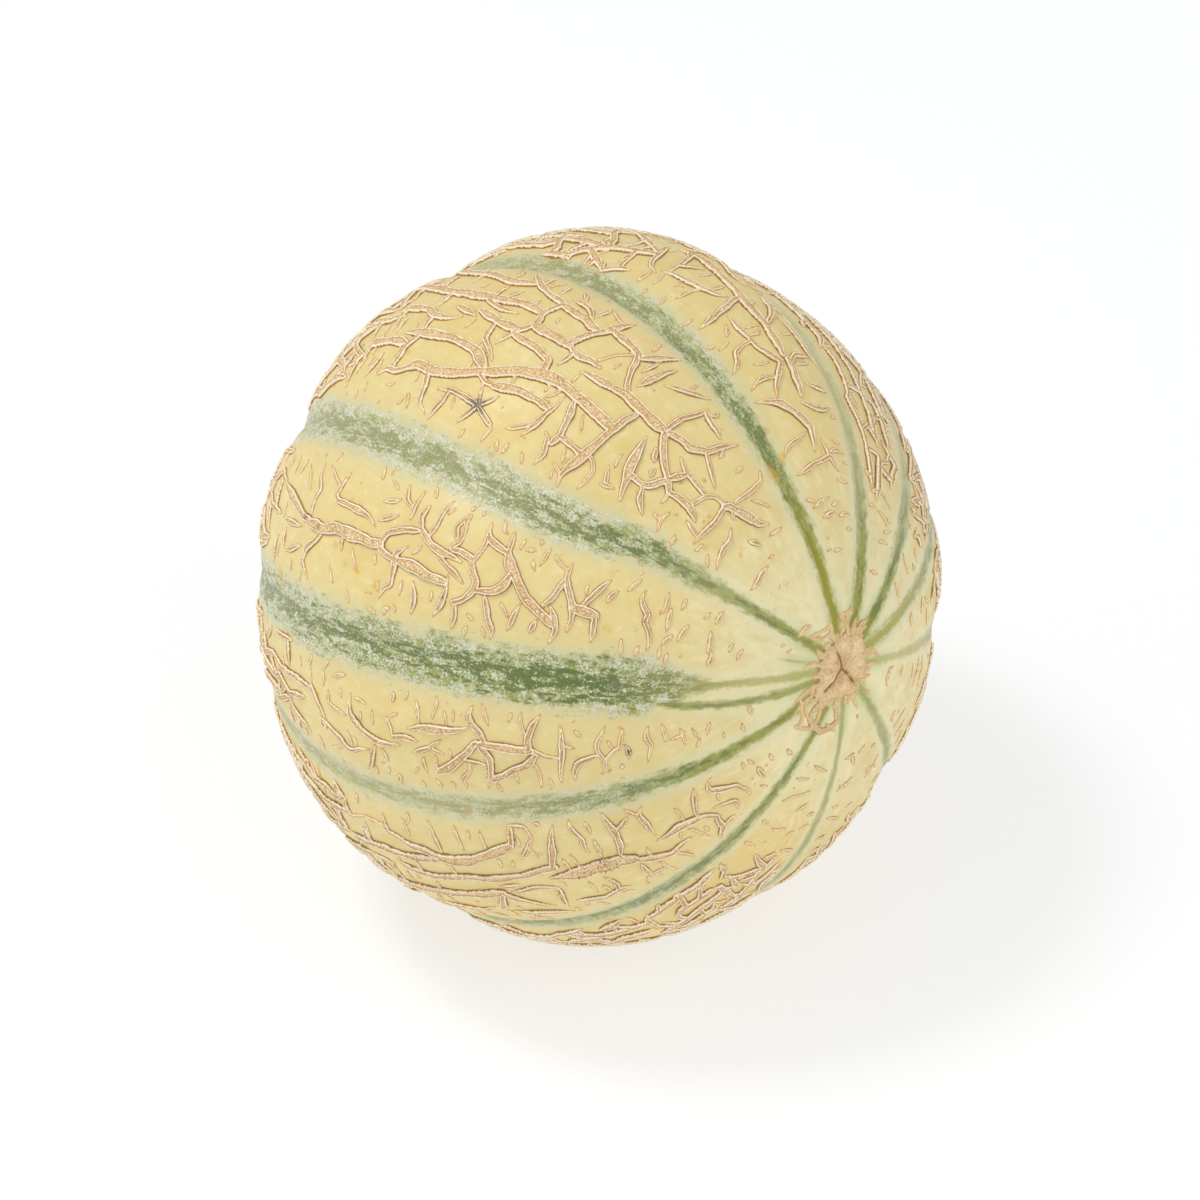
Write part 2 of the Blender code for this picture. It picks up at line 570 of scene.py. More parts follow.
def lay_on_melon(name, mesh, group, material):
    """Shapes a mesh of angles with a tree and keeps the result as a mesh."""
    source = bpy.data.objects.new(name + "_angles", mesh)
    bpy.context.scene.collection.objects.link(source)
    modifier = source.modifiers.new("shape", "NODES")
    modifier.node_group = group
    for socket in group.interface.items_tree:
        if socket.name == "Material":
            modifier[socket.identifier] = material
    graph = bpy.context.evaluated_depsgraph_get()
    made = bpy.data.meshes.new_from_object(source.evaluated_get(graph))
    made.name = name
    bpy.data.objects.remove(source, do_unlink=True)
    piece = bpy.data.objects.new(name, made)
    bpy.context.scene.collection.objects.link(piece)
    return piece


# ------------------------------------------------------------ the rind mesh

RIND_ROWS = 212
RIND_COLUMNS_PER_DEGREE = 1.25
STRIPE_APART = 3.7
NO_STRIPE_MM = -1e3
FURTHEST_OUT_MM = -20.0
SIDE_OLIVE = 0.4
SIDE_FADE_DEGREES = 4.0
# How warm each lobe's skin is, from pale green (-1) to orange (1).
LOBE_TONES = (0.6, 0.35, 0.2, 0.3, 0.05, 0.2, 0.2, 0.2, 0.1, 0.3, 0.5)


def stripe_widening(side, angle):
    """How far a stripe has widened at an angle to the axis, 0 to 1."""
    first, last = STRIPES[side % LOBES][3:5]
    return ramp(angle, first, last)


def stripe_fields(index, polar, part):
    """How deep inside a stripe a place is, and the stripe's look there.

    Returns the depth in millimetres (positive inside a stripe), the stripe's
    half width, its strength, its share of olive and a number of its own.
    """
    turn = lobe_turn(index, polar, part)
    reach = HALF_WIDTH_MM * np.sin(polar)
    angle = np.degrees(polar)
    best = np.full(polar.shape, NO_STRIPE_MM)
    half = np.ones(polar.shape)
    strength = np.zeros(polar.shape)
    olive = np.zeros(polar.shape)
    own = np.zeros(polar.shape)
    lines = []
    for side in (index, index + 1):
        near, far, tint, _, _, powers = STRIPES[side % LOBES]
        spread = near + (far - near) * stripe_widening(side, angle) ** 1.2
        closing = np.maximum(ramp(angle, 172.0, 142.0), 0.15)
        shown = np.interp(angle, STRIPE_ANGLES, powers)
        first, last = STRIPE_SHIFTS.get(side % LOBES, (0.0, 0.0))
        shift = last + (first - last) * ramp(angle, 55.0, 40.0)
        line = groove_turn(side, polar) + np.radians(shift)
        number = STRIPE_APART * (side % LOBES)
        lines.append((line, spread * closing, shown, tint, np.ones(polar.shape), number))
    for side, start, end, first, last, spread, power in SIDE_STRIPES:
        for shown in (side, side + LOBES):
            away = np.radians(start + (end - start) * ramp(angle, first, last))
            line = groove_turn(shown, polar) + away
            fade = ramp(angle, last, last - SIDE_FADE_DEGREES)
            number = STRIPE_APART * (side + 0.5)
            wide = np.full(polar.shape, spread)
            lines.append((line, wide, power, SIDE_OLIVE, fade, number))
    for line, spread, power, tint, fade, number in lines:
        depth = spread * fade - np.abs(turn - line) * reach
        depth = np.where(fade > 0.0, depth, NO_STRIPE_MM)
        nearer = depth > best
        best = np.where(nearer, depth, best)
        half = np.where(nearer, spread, half)
        strength = np.where(nearer, power, strength)
        olive = np.where(nearer, tint, olive)
        own = np.where(nearer, number, own)
    olive = olive * ramp(angle, 42.0, 16.0)
    olive = np.maximum(olive, 0.7 * ramp(angle, 13.0, 8.0))
    strength = strength * (1.0 - 0.15 * ramp(angle, 80.0, 110.0))
    return np.maximum(best, FURTHEST_OUT_MM), half, strength, olive, own


def fleck_field(polar, inside):
    """How thickly small raised flecks grow: most beside the stripes."""
    angle = np.degrees(polar)
    beside = np.exp(-(((inside + 4.0) / 3.0) ** 2))
    fleck = 0.25 + 0.55 * beside + 0.35 * ramp(angle, 60.0, 30.0)
    return fleck * ramp(inside, -0.5, -2.0) * ramp(angle, 9.0, 17.0)


def rind_fields():
    """The grid of the whole rind and the numbers kept on its points."""
    angles = np.linspace(0.0, math.pi, RIND_ROWS + 1)
    blocks = []
    for index in range(LOBES):
        width = GROOVES[(index + 1) % LOBES][0] - GROOVES[index][0]
        count = round((width % 360.0) * RIND_COLUMNS_PER_DEGREE)
        parts = np.arange(count) / count
        polar, part = np.meshgrid(angles, parts, indexing="ij")
        turn = lobe_turn(index, polar, part)
        inside, half, strength, olive, own = stripe_fields(index, polar, part)
        width_mm = lobe_width_mm(index, polar)
        signed = np.where(part > 0.5, part - 1.0, part) * width_mm
        blocks.append(
            {
                "polar": polar,
                "turn": turn,
                **lobe_numbers(index, part),
                "stripe_in": inside,
                "stripe_half": half,
                "stripe_strength": strength,
                "stripe_olive": olive,
                "stripe_own": own,
                "groove_mm": signed,
                "along_mm": polar * HALF_LENGTH_MM,
                "lobe_tone": np.full(polar.shape, LOBE_TONES[index]),
                "mark": spot_field(polar, turn, SKIN_MARKS),
                "fleck": fleck_field(polar, inside),
            }
        )
    return {
        label: np.concatenate([block[label] for block in blocks], 1)
        for label in blocks[0]
    }


# ------------------------------------------------------------- the cork net

CELL_MM = 0.25
NET_COLUMNS_PER_DEGREE = 4.9
NET_FIRST = math.radians(10.0)
NET_LAST = math.radians(171.0)
MEAN_HALF_MM = (HALF_WIDTH_MM + HALF_LENGTH_MM) / 2
STEP_MM = 0.5
GAP_REACH_MM = 6.0
RIM_MM = 0.30
BARE_MARGIN_MM = 1.4
NO_RIBBON_MM = -9.0
NOTHING_NEAR_MM = 99.0
# How a growing crack holds its heading, how sharply and how often it kinks,
# and how near and how long it may run beside another.
PULL = 0.06
KINK = 0.50
KINK_GAP_MM = 6.0
BEND = 0.05
BESIDE_MM = 1.9
BESIDE_LENGTH_MM = 2.6
# The seam where ribbons meet, and how listed ribbons shake and join.
SEAM_MM = 0.20
SHAKE_MM = 0.10
JOIN_MM = 0.6
BOLDER = 1.12
# What the grown ribbons, links and dashes are like.
RIBBON_TRIES = 900
RIBBON_LENGTH_MM = (6.0, 24.0)
SHORTEST_RIBBON_MM = 4.5
YOUNG_MM = 26.0
LINK_LENGTH_MM = (2.5, 8.0)
SHORTEST_LINK_MM = 2.0
DASHES_LAST = 168.0

# The grown web in each lobe: where it starts from the blossom end in degrees,
# the share of the lobe that it covers, the spacing of its long ribbons, half
# the width of a ribbon, the spacing of the cross links, all in millimetres,
# and how thickly short dashes grow beside it.
WEBS = (
    (34.0, 0.80, 5.6, 0.74, 4.4, 1.0),
    (92.0, 0.84, 5.4, 0.76, 4.4, 0.9),
    (94.0, 0.62, 6.4, 0.66, 4.8, 0.7),
    (115.0, 0.52, 6.4, 0.66, 5.0, 0.5),
    (106.0, 0.76, 5.4, 0.80, 4.4, 0.9),
    (74.0, 0.80, 5.4, 0.76, 4.4, 0.9),
    (28.0, 0.80, 5.4, 0.74, 4.4, 1.0),
    (30.0, 0.80, 5.4, 0.72, 4.4, 1.0),
    (32.0, 0.80, 5.4, 0.74, 4.4, 1.0),
    (34.0, 0.78, 5.6, 0.74, 4.6, 1.0),
    (36.0, 0.70, 6.4, 0.70, 5.4, 0.8),
)

# Ribbons of cork listed lobe by lobe: half the width in millimetres,
# then the angle to the axis and the angle round it, in degrees, of each point
# along the middle.
LAID = {
    1: (
        (0.30, 16.2, -129, 15.9, -123), (0.35, 18.6, -120, 18.5, -115.5),
        (0.40, 21.5, -124, 21.4, -120, 21.2, -116), (0.30, 22.5, -129.5, 22.9, -125.5),
        (0.50, 24.9, -125, 24.8, -121, 25.4, -118.5, 25.3, -116, 26.5, -115, 28, -112.5,
         29.8, -110, 29.3, -107.5, 28.5, -107),
        (0.45, 28, -126, 27.3, -123.5, 27.3, -121.5, 29, -119.5, 30.5, -118),
        (0.55, 34, -131.5, 33.5, -129.5, 31.8, -127.5, 31.5, -124, 30.9, -121.5,
         31.9, -119, 33, -117.8),
        (0.75, 33, -117.8, 35, -116.8, 37, -116.2, 39, -117, 41, -117),
        (0.40, 29.3, -127, 31.3, -127.2), (0.45, 33.4, -116.8, 33, -113, 32.2, -110, 31.8, -107),
        (0.25, 21.3, -113.5, 22, -109.5), (0.25, 23.2, -112, 23, -108.5),
        (0.30, 34.5, -127, 34.9, -123, 35, -121, 36, -118.5),
        (0.35, 35.5, -115, 35.4, -112, 35.8, -110),
        (0.65, 36.5, -122.5, 38.5, -122.5, 40.5, -123.5, 42.5, -122, 44.5, -120.3,
         46, -118.8),
        (0.35, 39.6, -130.5, 39.3, -128, 40.2, -124.3),
        (0.50, 40.5, -115, 41, -110, 41.4, -106.5, 40.5, -105), (0.35, 41.7, -106.8, 43.3, -104),
        (0.45, 43.3, -106.3, 45, -108, 46, -109), (0.35, 43, -130.5, 43.6, -127, 43, -124),
        (0.35, 44, -127, 46, -126.5, 48.3, -128.5), (0.50, 46.2, -126, 45.8, -121.5),
        (0.60, 47.2, -115.5, 46.3, -113, 46, -109, 46.7, -105, 47, -103),
        (1.50, 46, -118.5, 48, -117.2, 52, -116.6, 56, -116.2, 60, -115.8),
        (0.35, 50.2, -114.5, 49.8, -112, 49.8, -109),
        (0.50, 50.5, -127, 52, -126, 53.5, -126.5, 55, -126.8),
        (0.50, 52.3, -125.8, 51.5, -123.5, 52.3, -120.5),
        (0.45, 51.5, -112, 51.8, -110, 51.5, -108, 52.5, -105, 52.5, -102.5),
        (0.60, 58.5, -113, 57.3, -110, 56.2, -106, 55.3, -103),
        (0.60, 55, -127, 57, -126, 59.8, -125), (0.30, 55.5, -124.5, 55, -120),
        (0.40, 59.5, -105, 60, -102, 62.5, -101.5),
        (0.45, 59.8, -105.5, 61, -107.5, 62.5, -109.5), (0.40, 57.5, -102.3, 58.3, -101.7),
        (0.50, 62.5, -102, 63, -105, 63.5, -106),
        (1.10, 63.5, -105.8, 66, -106.8, 69, -107.8, 72, -108.7, 75, -108.8, 77.5, -108.3),
        (0.70, 77.5, -108.3, 80, -107, 83, -106.3, 84.5, -105.8),
        (0.50, 84.5, -105.6, 86, -104.8, 87.5, -104.5, 87.3, -101), (0.35, 68, -106, 68, -102.2),
        (0.40, 72.3, -106.5, 72.5, -104, 72.5, -101.2),
        (0.40, 77, -107, 77.1, -104, 77.5, -100.5), (0.35, 82.5, -104.5, 83, -101),
        (0.80, 58, -113, 62, -113.2, 66, -113.5, 70, -113.4, 74, -113, 78, -113.2,
         82, -113.5, 86, -112.8, 89.5, -112),
        (0.55, 62.5, -126.5, 61.3, -123, 60.3, -119),
        (0.60, 64, -125, 66, -122.8, 68.5, -120, 70, -118),
        (0.50, 60.2, -119, 62, -117.8, 64, -117.3, 66, -117.8, 68.5, -118),
        (0.50, 66, -116, 69.5, -116),
        (0.70, 63, -129, 65.5, -127, 67, -126.3, 70, -125.5, 72.5, -125),
        (0.70, 70.5, -118.5, 72, -121, 74, -124),
        (0.90, 70, -117.5, 74, -118, 78, -118, 82, -118.4, 86, -118.8, 91, -119.5,
         97, -119.5),
        (0.40, 76.5, -113, 76.7, -111, 77.3, -109.5),
        (0.80, 78, -109, 81, -109, 85, -109.3, 90, -109, 95, -109.5, 100, -109.8),
        (0.35, 83.3, -118.5, 82.5, -115.5), (0.35, 84, -112.5, 84.5, -110),
        (0.50, 75, -123, 78, -124.5, 82, -124, 88, -124.5), (0.35, 93.8, -108.5, 93, -104.5),
        (0.35, 88, -103.5, 92, -103, 97, -104.5),
    ),
    2: (
        (0.30, 20.8, -95, 21, -91), (0.25, 24.5, -94, 24.2, -91.5),
        (0.35, 27, -89.9, 26.8, -88, 26.2, -85.7), (0.25, 29.2, -93, 28.3, -90.5),
        (0.35, 30.8, -90.6, 31, -88, 31.2, -85), (0.30, 31.2, -87.2, 33, -87.9),
        (0.35, 33.8, -88, 33.7, -85, 34.2, -82.5),
        (0.40, 37.2, -92.6, 36.8, -90, 36.1, -88, 36.9, -86, 36.9, -84.5, 36.3, -82.5),
        (0.50, 40, -90.3, 39.7, -88, 40.3, -86.5), (0.35, 41.5, -92.7, 41.3, -91.2),
        (0.35, 41.3, -87.3, 40.9, -84.5, 40.4, -82),
        (0.40, 41.5, -87, 43, -88.3, 44, -90, 44, -92.5, 44.8, -92.8),
        (0.45, 43.8, -89.8, 44.8, -87, 44.7, -85, 43.8, -82.5, 43.2, -81),
        (0.55, 44.9, -87.9, 46.5, -88.1, 48, -89, 49.2, -91, 49.3, -93.2),
        (0.50, 51.6, -93.2, 51, -90, 50.4, -86, 50.1, -82.5, 50.3, -80.3),
        (0.25, 48.3, -85.5, 50, -84.5), (0.30, 47, -83, 48, -81.4),
        (0.40, 51.3, -87.3, 53, -86.7, 55, -85.2), (0.30, 55, -93.7, 54.7, -91, 55, -88.5),
        (0.60, 53.5, -78, 54.8, -80.5, 55.6, -83, 55.5, -85),
        (0.35, 56, -82, 56.8, -79, 56.5, -77.5),
        (0.70, 54.6, -86.3, 56.5, -88.3, 58.5, -89, 60.5, -90.5, 63, -91),
        (0.35, 58.5, -92.3, 58.8, -90, 58.9, -89.2),
        (0.90, 55.3, -85.2, 58, -84.8, 62, -84.3, 63.5, -83.8),
        (0.60, 63.8, -92.9, 63, -91, 62.3, -88.5, 62.2, -86.5, 63.3, -85, 64.3, -83.5),
        (0.60, 62.8, -83.8, 63.5, -81.5, 65, -80.2, 65.2, -78.5, 64.6, -77),
        (0.80, 64.5, -83.7, 66.5, -86, 68.8, -88.3, 71.8, -89.7),
        (0.45, 63.3, -88, 65, -87.4, 67, -87.2),
        (0.40, 66, -88, 66.3, -89.5, 67.8, -91, 67.7, -93),
        (0.80, 65.5, -81, 68, -81.8, 71, -81.8, 74.3, -81.9, 76.8, -82.5),
        (0.30, 71.8, -80, 71.5, -78.5, 70.8, -77.5, 71.2, -76), (0.40, 74.6, -81, 74.8, -77.3),
        (0.25, 68, -80, 67.9, -78), (0.30, 62, -80.3, 62.4, -79, 63, -76.5),
        (0.25, 69.8, -93, 70.2, -91.7), (0.30, 72.4, -93, 73, -91.5),
        (0.35, 72.2, -89.2, 72, -86.7), (0.35, 74.3, -90.3, 74.7, -88.5, 74.3, -87.3),
        (0.40, 70.3, -86.4, 72.8, -85.3, 70.5, -83.7),
        (0.45, 72.8, -85.3, 74.5, -86, 76.3, -86.8), (0.60, 75, -84.5, 77, -84, 79.5, -84.4),
        (0.40, 80, -84.5, 80.8, -81), (0.25, 78.5, -80.2, 80, -80.9),
        (0.65, 78.7, -85.7, 80.5, -86, 83, -85.9, 85.5, -85, 87.3, -84, 88.8, -82.3,
         89, -80, 88.4, -78.8),
        (0.45, 82, -89.3, 82.8, -87.2), (0.50, 84, -86.7, 85.2, -89, 86, -91, 87.3, -92),
        (0.55, 85.8, -87.9, 88, -88.3, 90, -89.2, 91.3, -88.8, 92.5, -87.3, 94, -86.3,
         97, -85),
        (0.30, 92, -88.5, 93.5, -89.5, 95.5, -90), (0.25, 83.8, -83, 83.8, -80.5),
        (0.30, 85, -79.8, 87.5, -79.3), (0.35, 90, -82.8, 92.5, -82.3, 94.8, -81.5),
        (0.35, 89.7, -76, 93, -77), (0.25, 77, -90.8, 75.8, -89.5),
        (0.25, 82.7, -92, 82.2, -90.5), (0.30, 98.8, -80, 99.3, -76),
    ),
    3: (
        (0.35, 21.7, -61.3, 21, -57), (0.35, 23.3, -58.5, 22.9, -55.5),
        (0.45, 26.7, -64.3, 26.2, -62, 26.2, -60), (0.45, 26.8, -59.5, 26.7, -56, 27.2, -53),
        (0.45, 26.8, -49.8, 26.6, -45.2), (0.25, 29, -49.5, 28.5, -47),
        (0.40, 32.2, -58, 31.8, -55.5, 31.1, -52.8), (0.40, 34.6, -59.5, 33.2, -56.7),
        (0.35, 33.7, -64.8, 33.4, -61.8), (0.35, 33, -49, 33, -46),
        (0.40, 34.3, -56, 34.6, -49.7), (0.30, 36, -52, 35.5, -49.5, 36.1, -46),
        (0.45, 36.9, -61.8, 36.6, -60, 37, -57, 38.2, -54.5, 37.8, -53, 39, -51.5,
         39.8, -49, 39.5, -47.5),
        (0.35, 38.6, -63.5, 38.3, -61), (0.35, 41, -63.7, 41.1, -60),
        (0.40, 42.1, -49, 41, -45.5), (0.55, 45.9, -61.8, 45.8, -59, 46, -55.5),
        (0.90, 45.8, -56, 48, -55.8, 49.7, -55.6), (0.50, 48, -54.5, 46.8, -51.5, 45.3, -48),
        (0.60, 49.9, -60.5, 49.3, -58, 49.8, -55, 51, -52.5, 52, -50, 51.8, -47.5),
        (0.55, 54.2, -56.5, 52.8, -54, 52, -51),
        (0.50, 52.5, -63.4, 51.6, -61, 52, -58.5, 53, -56.5),
        (0.95, 52.5, -59.5, 54.5, -58, 57, -56, 59.5, -53, 61.5, -50.5, 62, -49),
        (0.35, 52.3, -48.8, 54, -48, 54.9, -46.8), (0.35, 56.5, -49.7, 56, -46),
        (0.25, 57, -50.8, 57.8, -49), (0.30, 58, -47.4, 59.5, -47.8),
        (0.30, 60.4, -48, 60.3, -46), (0.45, 59.3, -62.3, 58.7, -60, 57.8, -57.3),
        (0.50, 62, -64.5, 61.9, -63, 62.8, -60, 63.7, -57.5),
        (0.75, 65.3, -56.8, 63, -56.5, 61, -54.8, 60.6, -53),
        (0.40, 62, -49, 62.2, -47, 62.5, -45.5),
        (0.70, 62.4, -49.2, 64, -48.6, 65.7, -48, 66.3, -47),
        (0.60, 69, -59.7, 67, -58.8, 65.8, -57.2, 65.5, -55.5, 66.5, -54, 67.2, -52.5),
        (0.45, 67.2, -52.5, 66.3, -50.5, 66, -48.5, 66.3, -46.5, 66.5, -45.3),
        (0.35, 65, -61.8, 66.3, -60.9), (0.35, 66.5, -64.8, 66, -63),
        (0.45, 68.8, -64, 68.2, -62, 68.5, -60), (0.80, 67.2, -52, 69.5, -51.3, 71, -51.5),
        (0.50, 67.7, -56.3, 69.5, -55, 71.5, -54, 73, -53),
        (0.75, 69, -53, 71, -52.5, 73, -52.3, 75.5, -51.5, 77.3, -50),
        (0.50, 72.2, -62.7, 71, -60.5, 70.5, -58, 70.6, -55.5),
        (0.40, 71.5, -51.3, 70.2, -49.8, 70, -48.5, 70.7, -46, 70.3, -45.5),
        (0.40, 71, -49.5, 71.8, -47.8, 70.6, -45.5),
        (0.95, 71, -56.8, 74, -56.5, 77, -55.8, 80, -55.5),
        (0.50, 76.3, -63.2, 75.8, -61, 76.6, -58), (0.35, 77.8, -54, 76.5, -52.3),
        (0.50, 75.7, -50.2, 75, -47, 74.6, -44.5, 74.2, -44),
        (0.60, 77.3, -50, 78.5, -48, 77.8, -46), (0.30, 77.5, -44.5, 78.2, -42.8),
        (0.30, 79.3, -63.5, 79.8, -62.5),
        (0.55, 82.8, -62, 82, -60, 80.8, -59.5, 80.6, -57, 80.9, -54.5, 79, -53),
        (0.60, 78, -50.2, 81, -50.7, 83.5, -52, 84.5, -54, 83.5, -55, 81, -55.5),
        (0.40, 80.2, -49, 80.5, -46.5, 79.9, -44), (0.40, 80.8, -47, 82.5, -46, 83.3, -43.8),
        (0.40, 83.5, -46.3, 84.5, -47, 86.8, -47.5),
        (0.45, 82.7, -48.9, 84.5, -49.6, 86.2, -50.5), (0.35, 85, -45, 86.9, -43.9),
        (1.05, 84.3, -53.8, 87, -54, 91, -53.8, 95, -53.6, 98, -54.2, 102.5, -54),
        (0.80, 102, -53.8, 105, -53.3, 108, -52, 112, -50.5, 117, -49),
        (0.60, 86.6, -51.5, 89, -50.3, 93, -49.6, 97, -49.3, 97.8, -48.3),
        (0.35, 97.6, -48.7, 97.2, -46.5, 96.6, -44.5),
        (0.40, 98, -47, 100.5, -45.5, 102.7, -44.3), (0.30, 93.5, -62, 95, -59.5),
        (0.50, 101, -62.7, 103, -60.5, 102, -58, 99.5, -56.3, 98.5, -55),
        (0.40, 104, -58, 107, -59, 110, -60),
        (0.40, 103, -52.5, 103.3, -50, 102.5, -48.5, 104.3, -46.5, 105, -44),
        (0.30, 106, -49, 107.5, -47, 109.5, -45), (0.50, 105, -55, 109, -55, 113.5, -54.7),
    ),
    4: (
        (0.45, 23.4, -33, 22.9, -30, 23.2, -26, 22.9, -21.5), (0.25, 23.6, -19, 23.4, -16.5),
        (0.30, 26, -13, 25.9, -7), (0.40, 26, -18, 28, -20.5),
        (0.50, 30.2, -34, 30.6, -30, 30.4, -25, 31.4, -21.5),
        (0.85, 27.6, -10.5, 28.6, -13.5, 31, -15, 33.8, -17, 34.4, -18.5),
        (0.50, 34.4, -18, 34.1, -23, 35.3, -31.5),
        (0.35, 33.6, -15, 33.2, -9, 33.8, -4, 35.4, -2), (0.30, 32, -19, 33, -17.5),
        (0.35, 29.6, -6.5, 31, -8, 32, -10.5), (0.40, 35.2, -29.5, 38, -27.8),
        (0.40, 34.8, -18, 36.5, -18, 37.8, -20, 38.2, -22, 38.8, -24),
        (0.70, 36.8, -26.5, 38.8, -24.3, 41, -24.6, 42.7, -25), (0.30, 42.9, -28, 42.7, -25.2),
        (0.70, 42.7, -25, 43.8, -23, 45.2, -21, 47, -19, 48.7, -16, 49, -14.5),
        (0.55, 37.8, -19.7, 40, -19.2, 42.2, -19, 44.5, -16.8),
        (0.60, 42.2, -19, 42.7, -20.5, 43.9, -22.6),
        (0.65, 43.9, -22.8, 45.3, -25.5, 46.8, -27, 49.2, -26.6),
        (0.50, 46.7, -27.2, 46.2, -30, 44.7, -32.2),
        (0.80, 48.9, -32, 49.5, -28, 50.3, -23, 50.7, -18.2),
        (0.30, 41.5, -33.7, 41.8, -31, 40.9, -28.5), (0.30, 41.8, -31, 43.2, -30.8),
        (0.45, 37.3, -16.5, 39.5, -14.3, 42.5, -11.3),
        (0.70, 40.5, -3, 41, -6, 42.3, -11, 44.5, -13.8, 46.5, -13.5, 48.8, -14.5),
        (0.50, 42.8, -6, 45, -5.3, 47.3, -4.5), (0.65, 48, -3, 48, -6, 49, -10, 49.2, -14),
        (0.45, 47.3, -21.5, 48.3, -19),
        (1.00, 49, -14.6, 52, -14.8, 55, -14.4, 57.5, -14, 60, -14.5),
        (0.75, 60, -14.5, 66, -15.1), (0.70, 49.4, -0.8, 52, -4, 55, -6.8),
        (0.80, 57.5, -11, 57, -7.5, 56.3, -2), (0.40, 50.5, -30.6, 53, -31.2),
        (0.40, 52, -30.8, 53, -27.3), (0.45, 56, -34, 54.9, -31, 54.6, -30, 55.6, -28, 57, -27.5),
        (0.80, 54.3, -16, 55.2, -19, 56.4, -25, 57.3, -28, 58.5, -31, 59.5, -33,
         59.2, -35),
        (0.35, 59.5, -33, 61.3, -31.8), (0.25, 60.8, -34.5, 60.9, -33),
        (0.55, 57.3, -28.3, 60, -27.8, 62.2, -27.3),
        (0.60, 63, -29, 62.3, -27.3, 62.6, -23, 63.4, -20.8),
        (1.05, 56, -21, 60, -20.3, 65, -19.3, 68, -19, 71, -19.5, 74, -20.5, 77, -22,
         79.5, -23),
        (0.50, 64.2, -33.5, 63.3, -31, 64, -28, 64.8, -27.7),
        (0.60, 68.2, -30.2, 67, -28, 65.8, -24, 65.2, -20.8),
        (0.45, 67.8, -28, 69.5, -29, 71, -30),
        (0.75, 66.5, -24, 69, -23.6, 72, -23.5, 75, -24.2, 76.8, -24.7),
        (0.25, 66.2, -34.2, 66.8, -32.5), (0.30, 70, -34, 69.5, -32),
        (0.30, 71, -34, 71.5, -32.2), (0.30, 68.6, -21.7, 68.5, -19.7),
        (0.55, 74, -30.5, 77.5, -28.5), (0.50, 77.5, -28.5, 75.8, -27, 75, -25.8),
        (0.40, 77.5, -28.5, 78.8, -25), (0.50, 77.5, -28.5, 78.5, -30.3, 79.8, -32),
        (0.50, 77.5, -28.5, 81, -28, 84, -27.8, 86.5, -28.2),
        (0.45, 84, -27.8, 84.5, -30, 85.8, -33), (0.30, 74.3, -33.5, 73.3, -31, 75.5, -30),
        (0.45, 76.8, -24.5, 78.5, -24.5, 80.3, -23.7),
        (0.90, 79.5, -23, 82, -24, 85, -25, 89, -25.7, 93, -25.2, 95, -26),
        (0.60, 95, -26, 98, -27, 100.5, -26.7, 102, -28),
        (0.95, 80.5, -22.3, 83, -20.6, 85, -20, 90, -19.5, 97, -19.7, 102, -19.9),
        (0.55, 80, -20.8, 82, -19, 84.3, -17.5, 84.6, -15), (0.30, 84.8, -20, 84.3, -17.5),
        (0.70, 71, -18.8, 71.5, -16.5, 74, -15.7, 78, -15.5, 80.5, -15),
        (0.40, 81.7, -18, 81, -16, 80.3, -14.2), (0.70, 64, -12.6, 66, -12.5, 68, -13, 70, -12.5),
        (0.45, 69.8, -16.5, 69.3, -13), (1.00, 70.5, -12.3, 74, -12.2, 78.5, -12),
        (0.65, 71, -12, 70.3, -9, 69, -6, 68.3, -4, 67.9, 0.3),
        (0.60, 57.5, -13.8, 59, -12, 60, -9.5, 60.8, -7, 62, -5.8),
        (0.70, 58, 1, 59.5, -3, 61, -5.8), (0.90, 61.5, -5.6, 64, -5, 68, -4.6),
        (0.35, 62.5, -6, 64.3, -8.5, 65.2, -11.5), (0.35, 61.3, -2.5, 62.2, 0.5),
        (0.45, 69, -1.5, 70.8, -0.8, 72.8, 0.3), (0.85, 69.3, -6.4, 73, -5.8, 78.2, -5.4),
        (0.55, 72.8, -4.5, 75, -3, 78.5, -2.8), (0.40, 76.8, -1.8, 79.5, 0.7),
        (0.60, 80.2, -14.5, 78.9, -12.8, 78.3, -11, 79.3, -9, 78.8, -6.5, 78.6, -5.5),
        (0.85, 80, -14, 84, -14, 88, -13.3, 90.5, -12.9),
        (0.60, 89.5, -14.2, 92.5, -13.7, 95.5, -12.9),
        (0.95, 79.5, -9, 84, -8.8, 89, -9.6, 94, -10, 99, -9.8, 102, -9.5, 106, -8.5,
         110, -7, 115, -5.5, 119, -3.5),
        (0.60, 83, -11, 86, -11.4, 88, -11, 90.5, -10.2),
        (0.80, 78.7, -5, 82, -4.5, 85, -3.3, 88, -1.5, 91, 0.8), (0.45, 81.5, -3, 82.2, 0.3),
        (0.90, 87, -3, 89.5, -4.2, 93, -4.2, 97, -3, 101, -2.8, 105, -2, 110, 0.5,
         114, 3),
        (0.40, 90.5, -9.5, 90.5, -5.5), (0.45, 86, -2, 86.5, 0.8),
        (0.50, 86.8, -32.4, 88.8, -31, 89.2, -28, 90.2, -26.2), (0.35, 91.2, -32.3, 92, -30),
        (0.35, 91.9, -28, 92.3, -26.5), (0.30, 96.5, -29, 98.5, -29.3),
        (0.55, 99.2, -26.5, 98.7, -24, 98.9, -22.5, 97.8, -21, 97.3, -19),
        (0.85, 99, -22, 103, -21.7, 107, -22, 109.5, -22.3),
        (0.45, 105.8, -28.5, 104.5, -26, 104, -24), (0.50, 97.8, -18.5, 98, -16.5),
        (0.75, 92, -15, 95, -16, 98, -15.8, 100.5, -14.5, 105, -14.3, 109, -14.6),
        (0.50, 99.6, -13.5, 99.7, -10), (0.90, 106, -16, 110, -16.8, 115, -16.3, 119, -15),
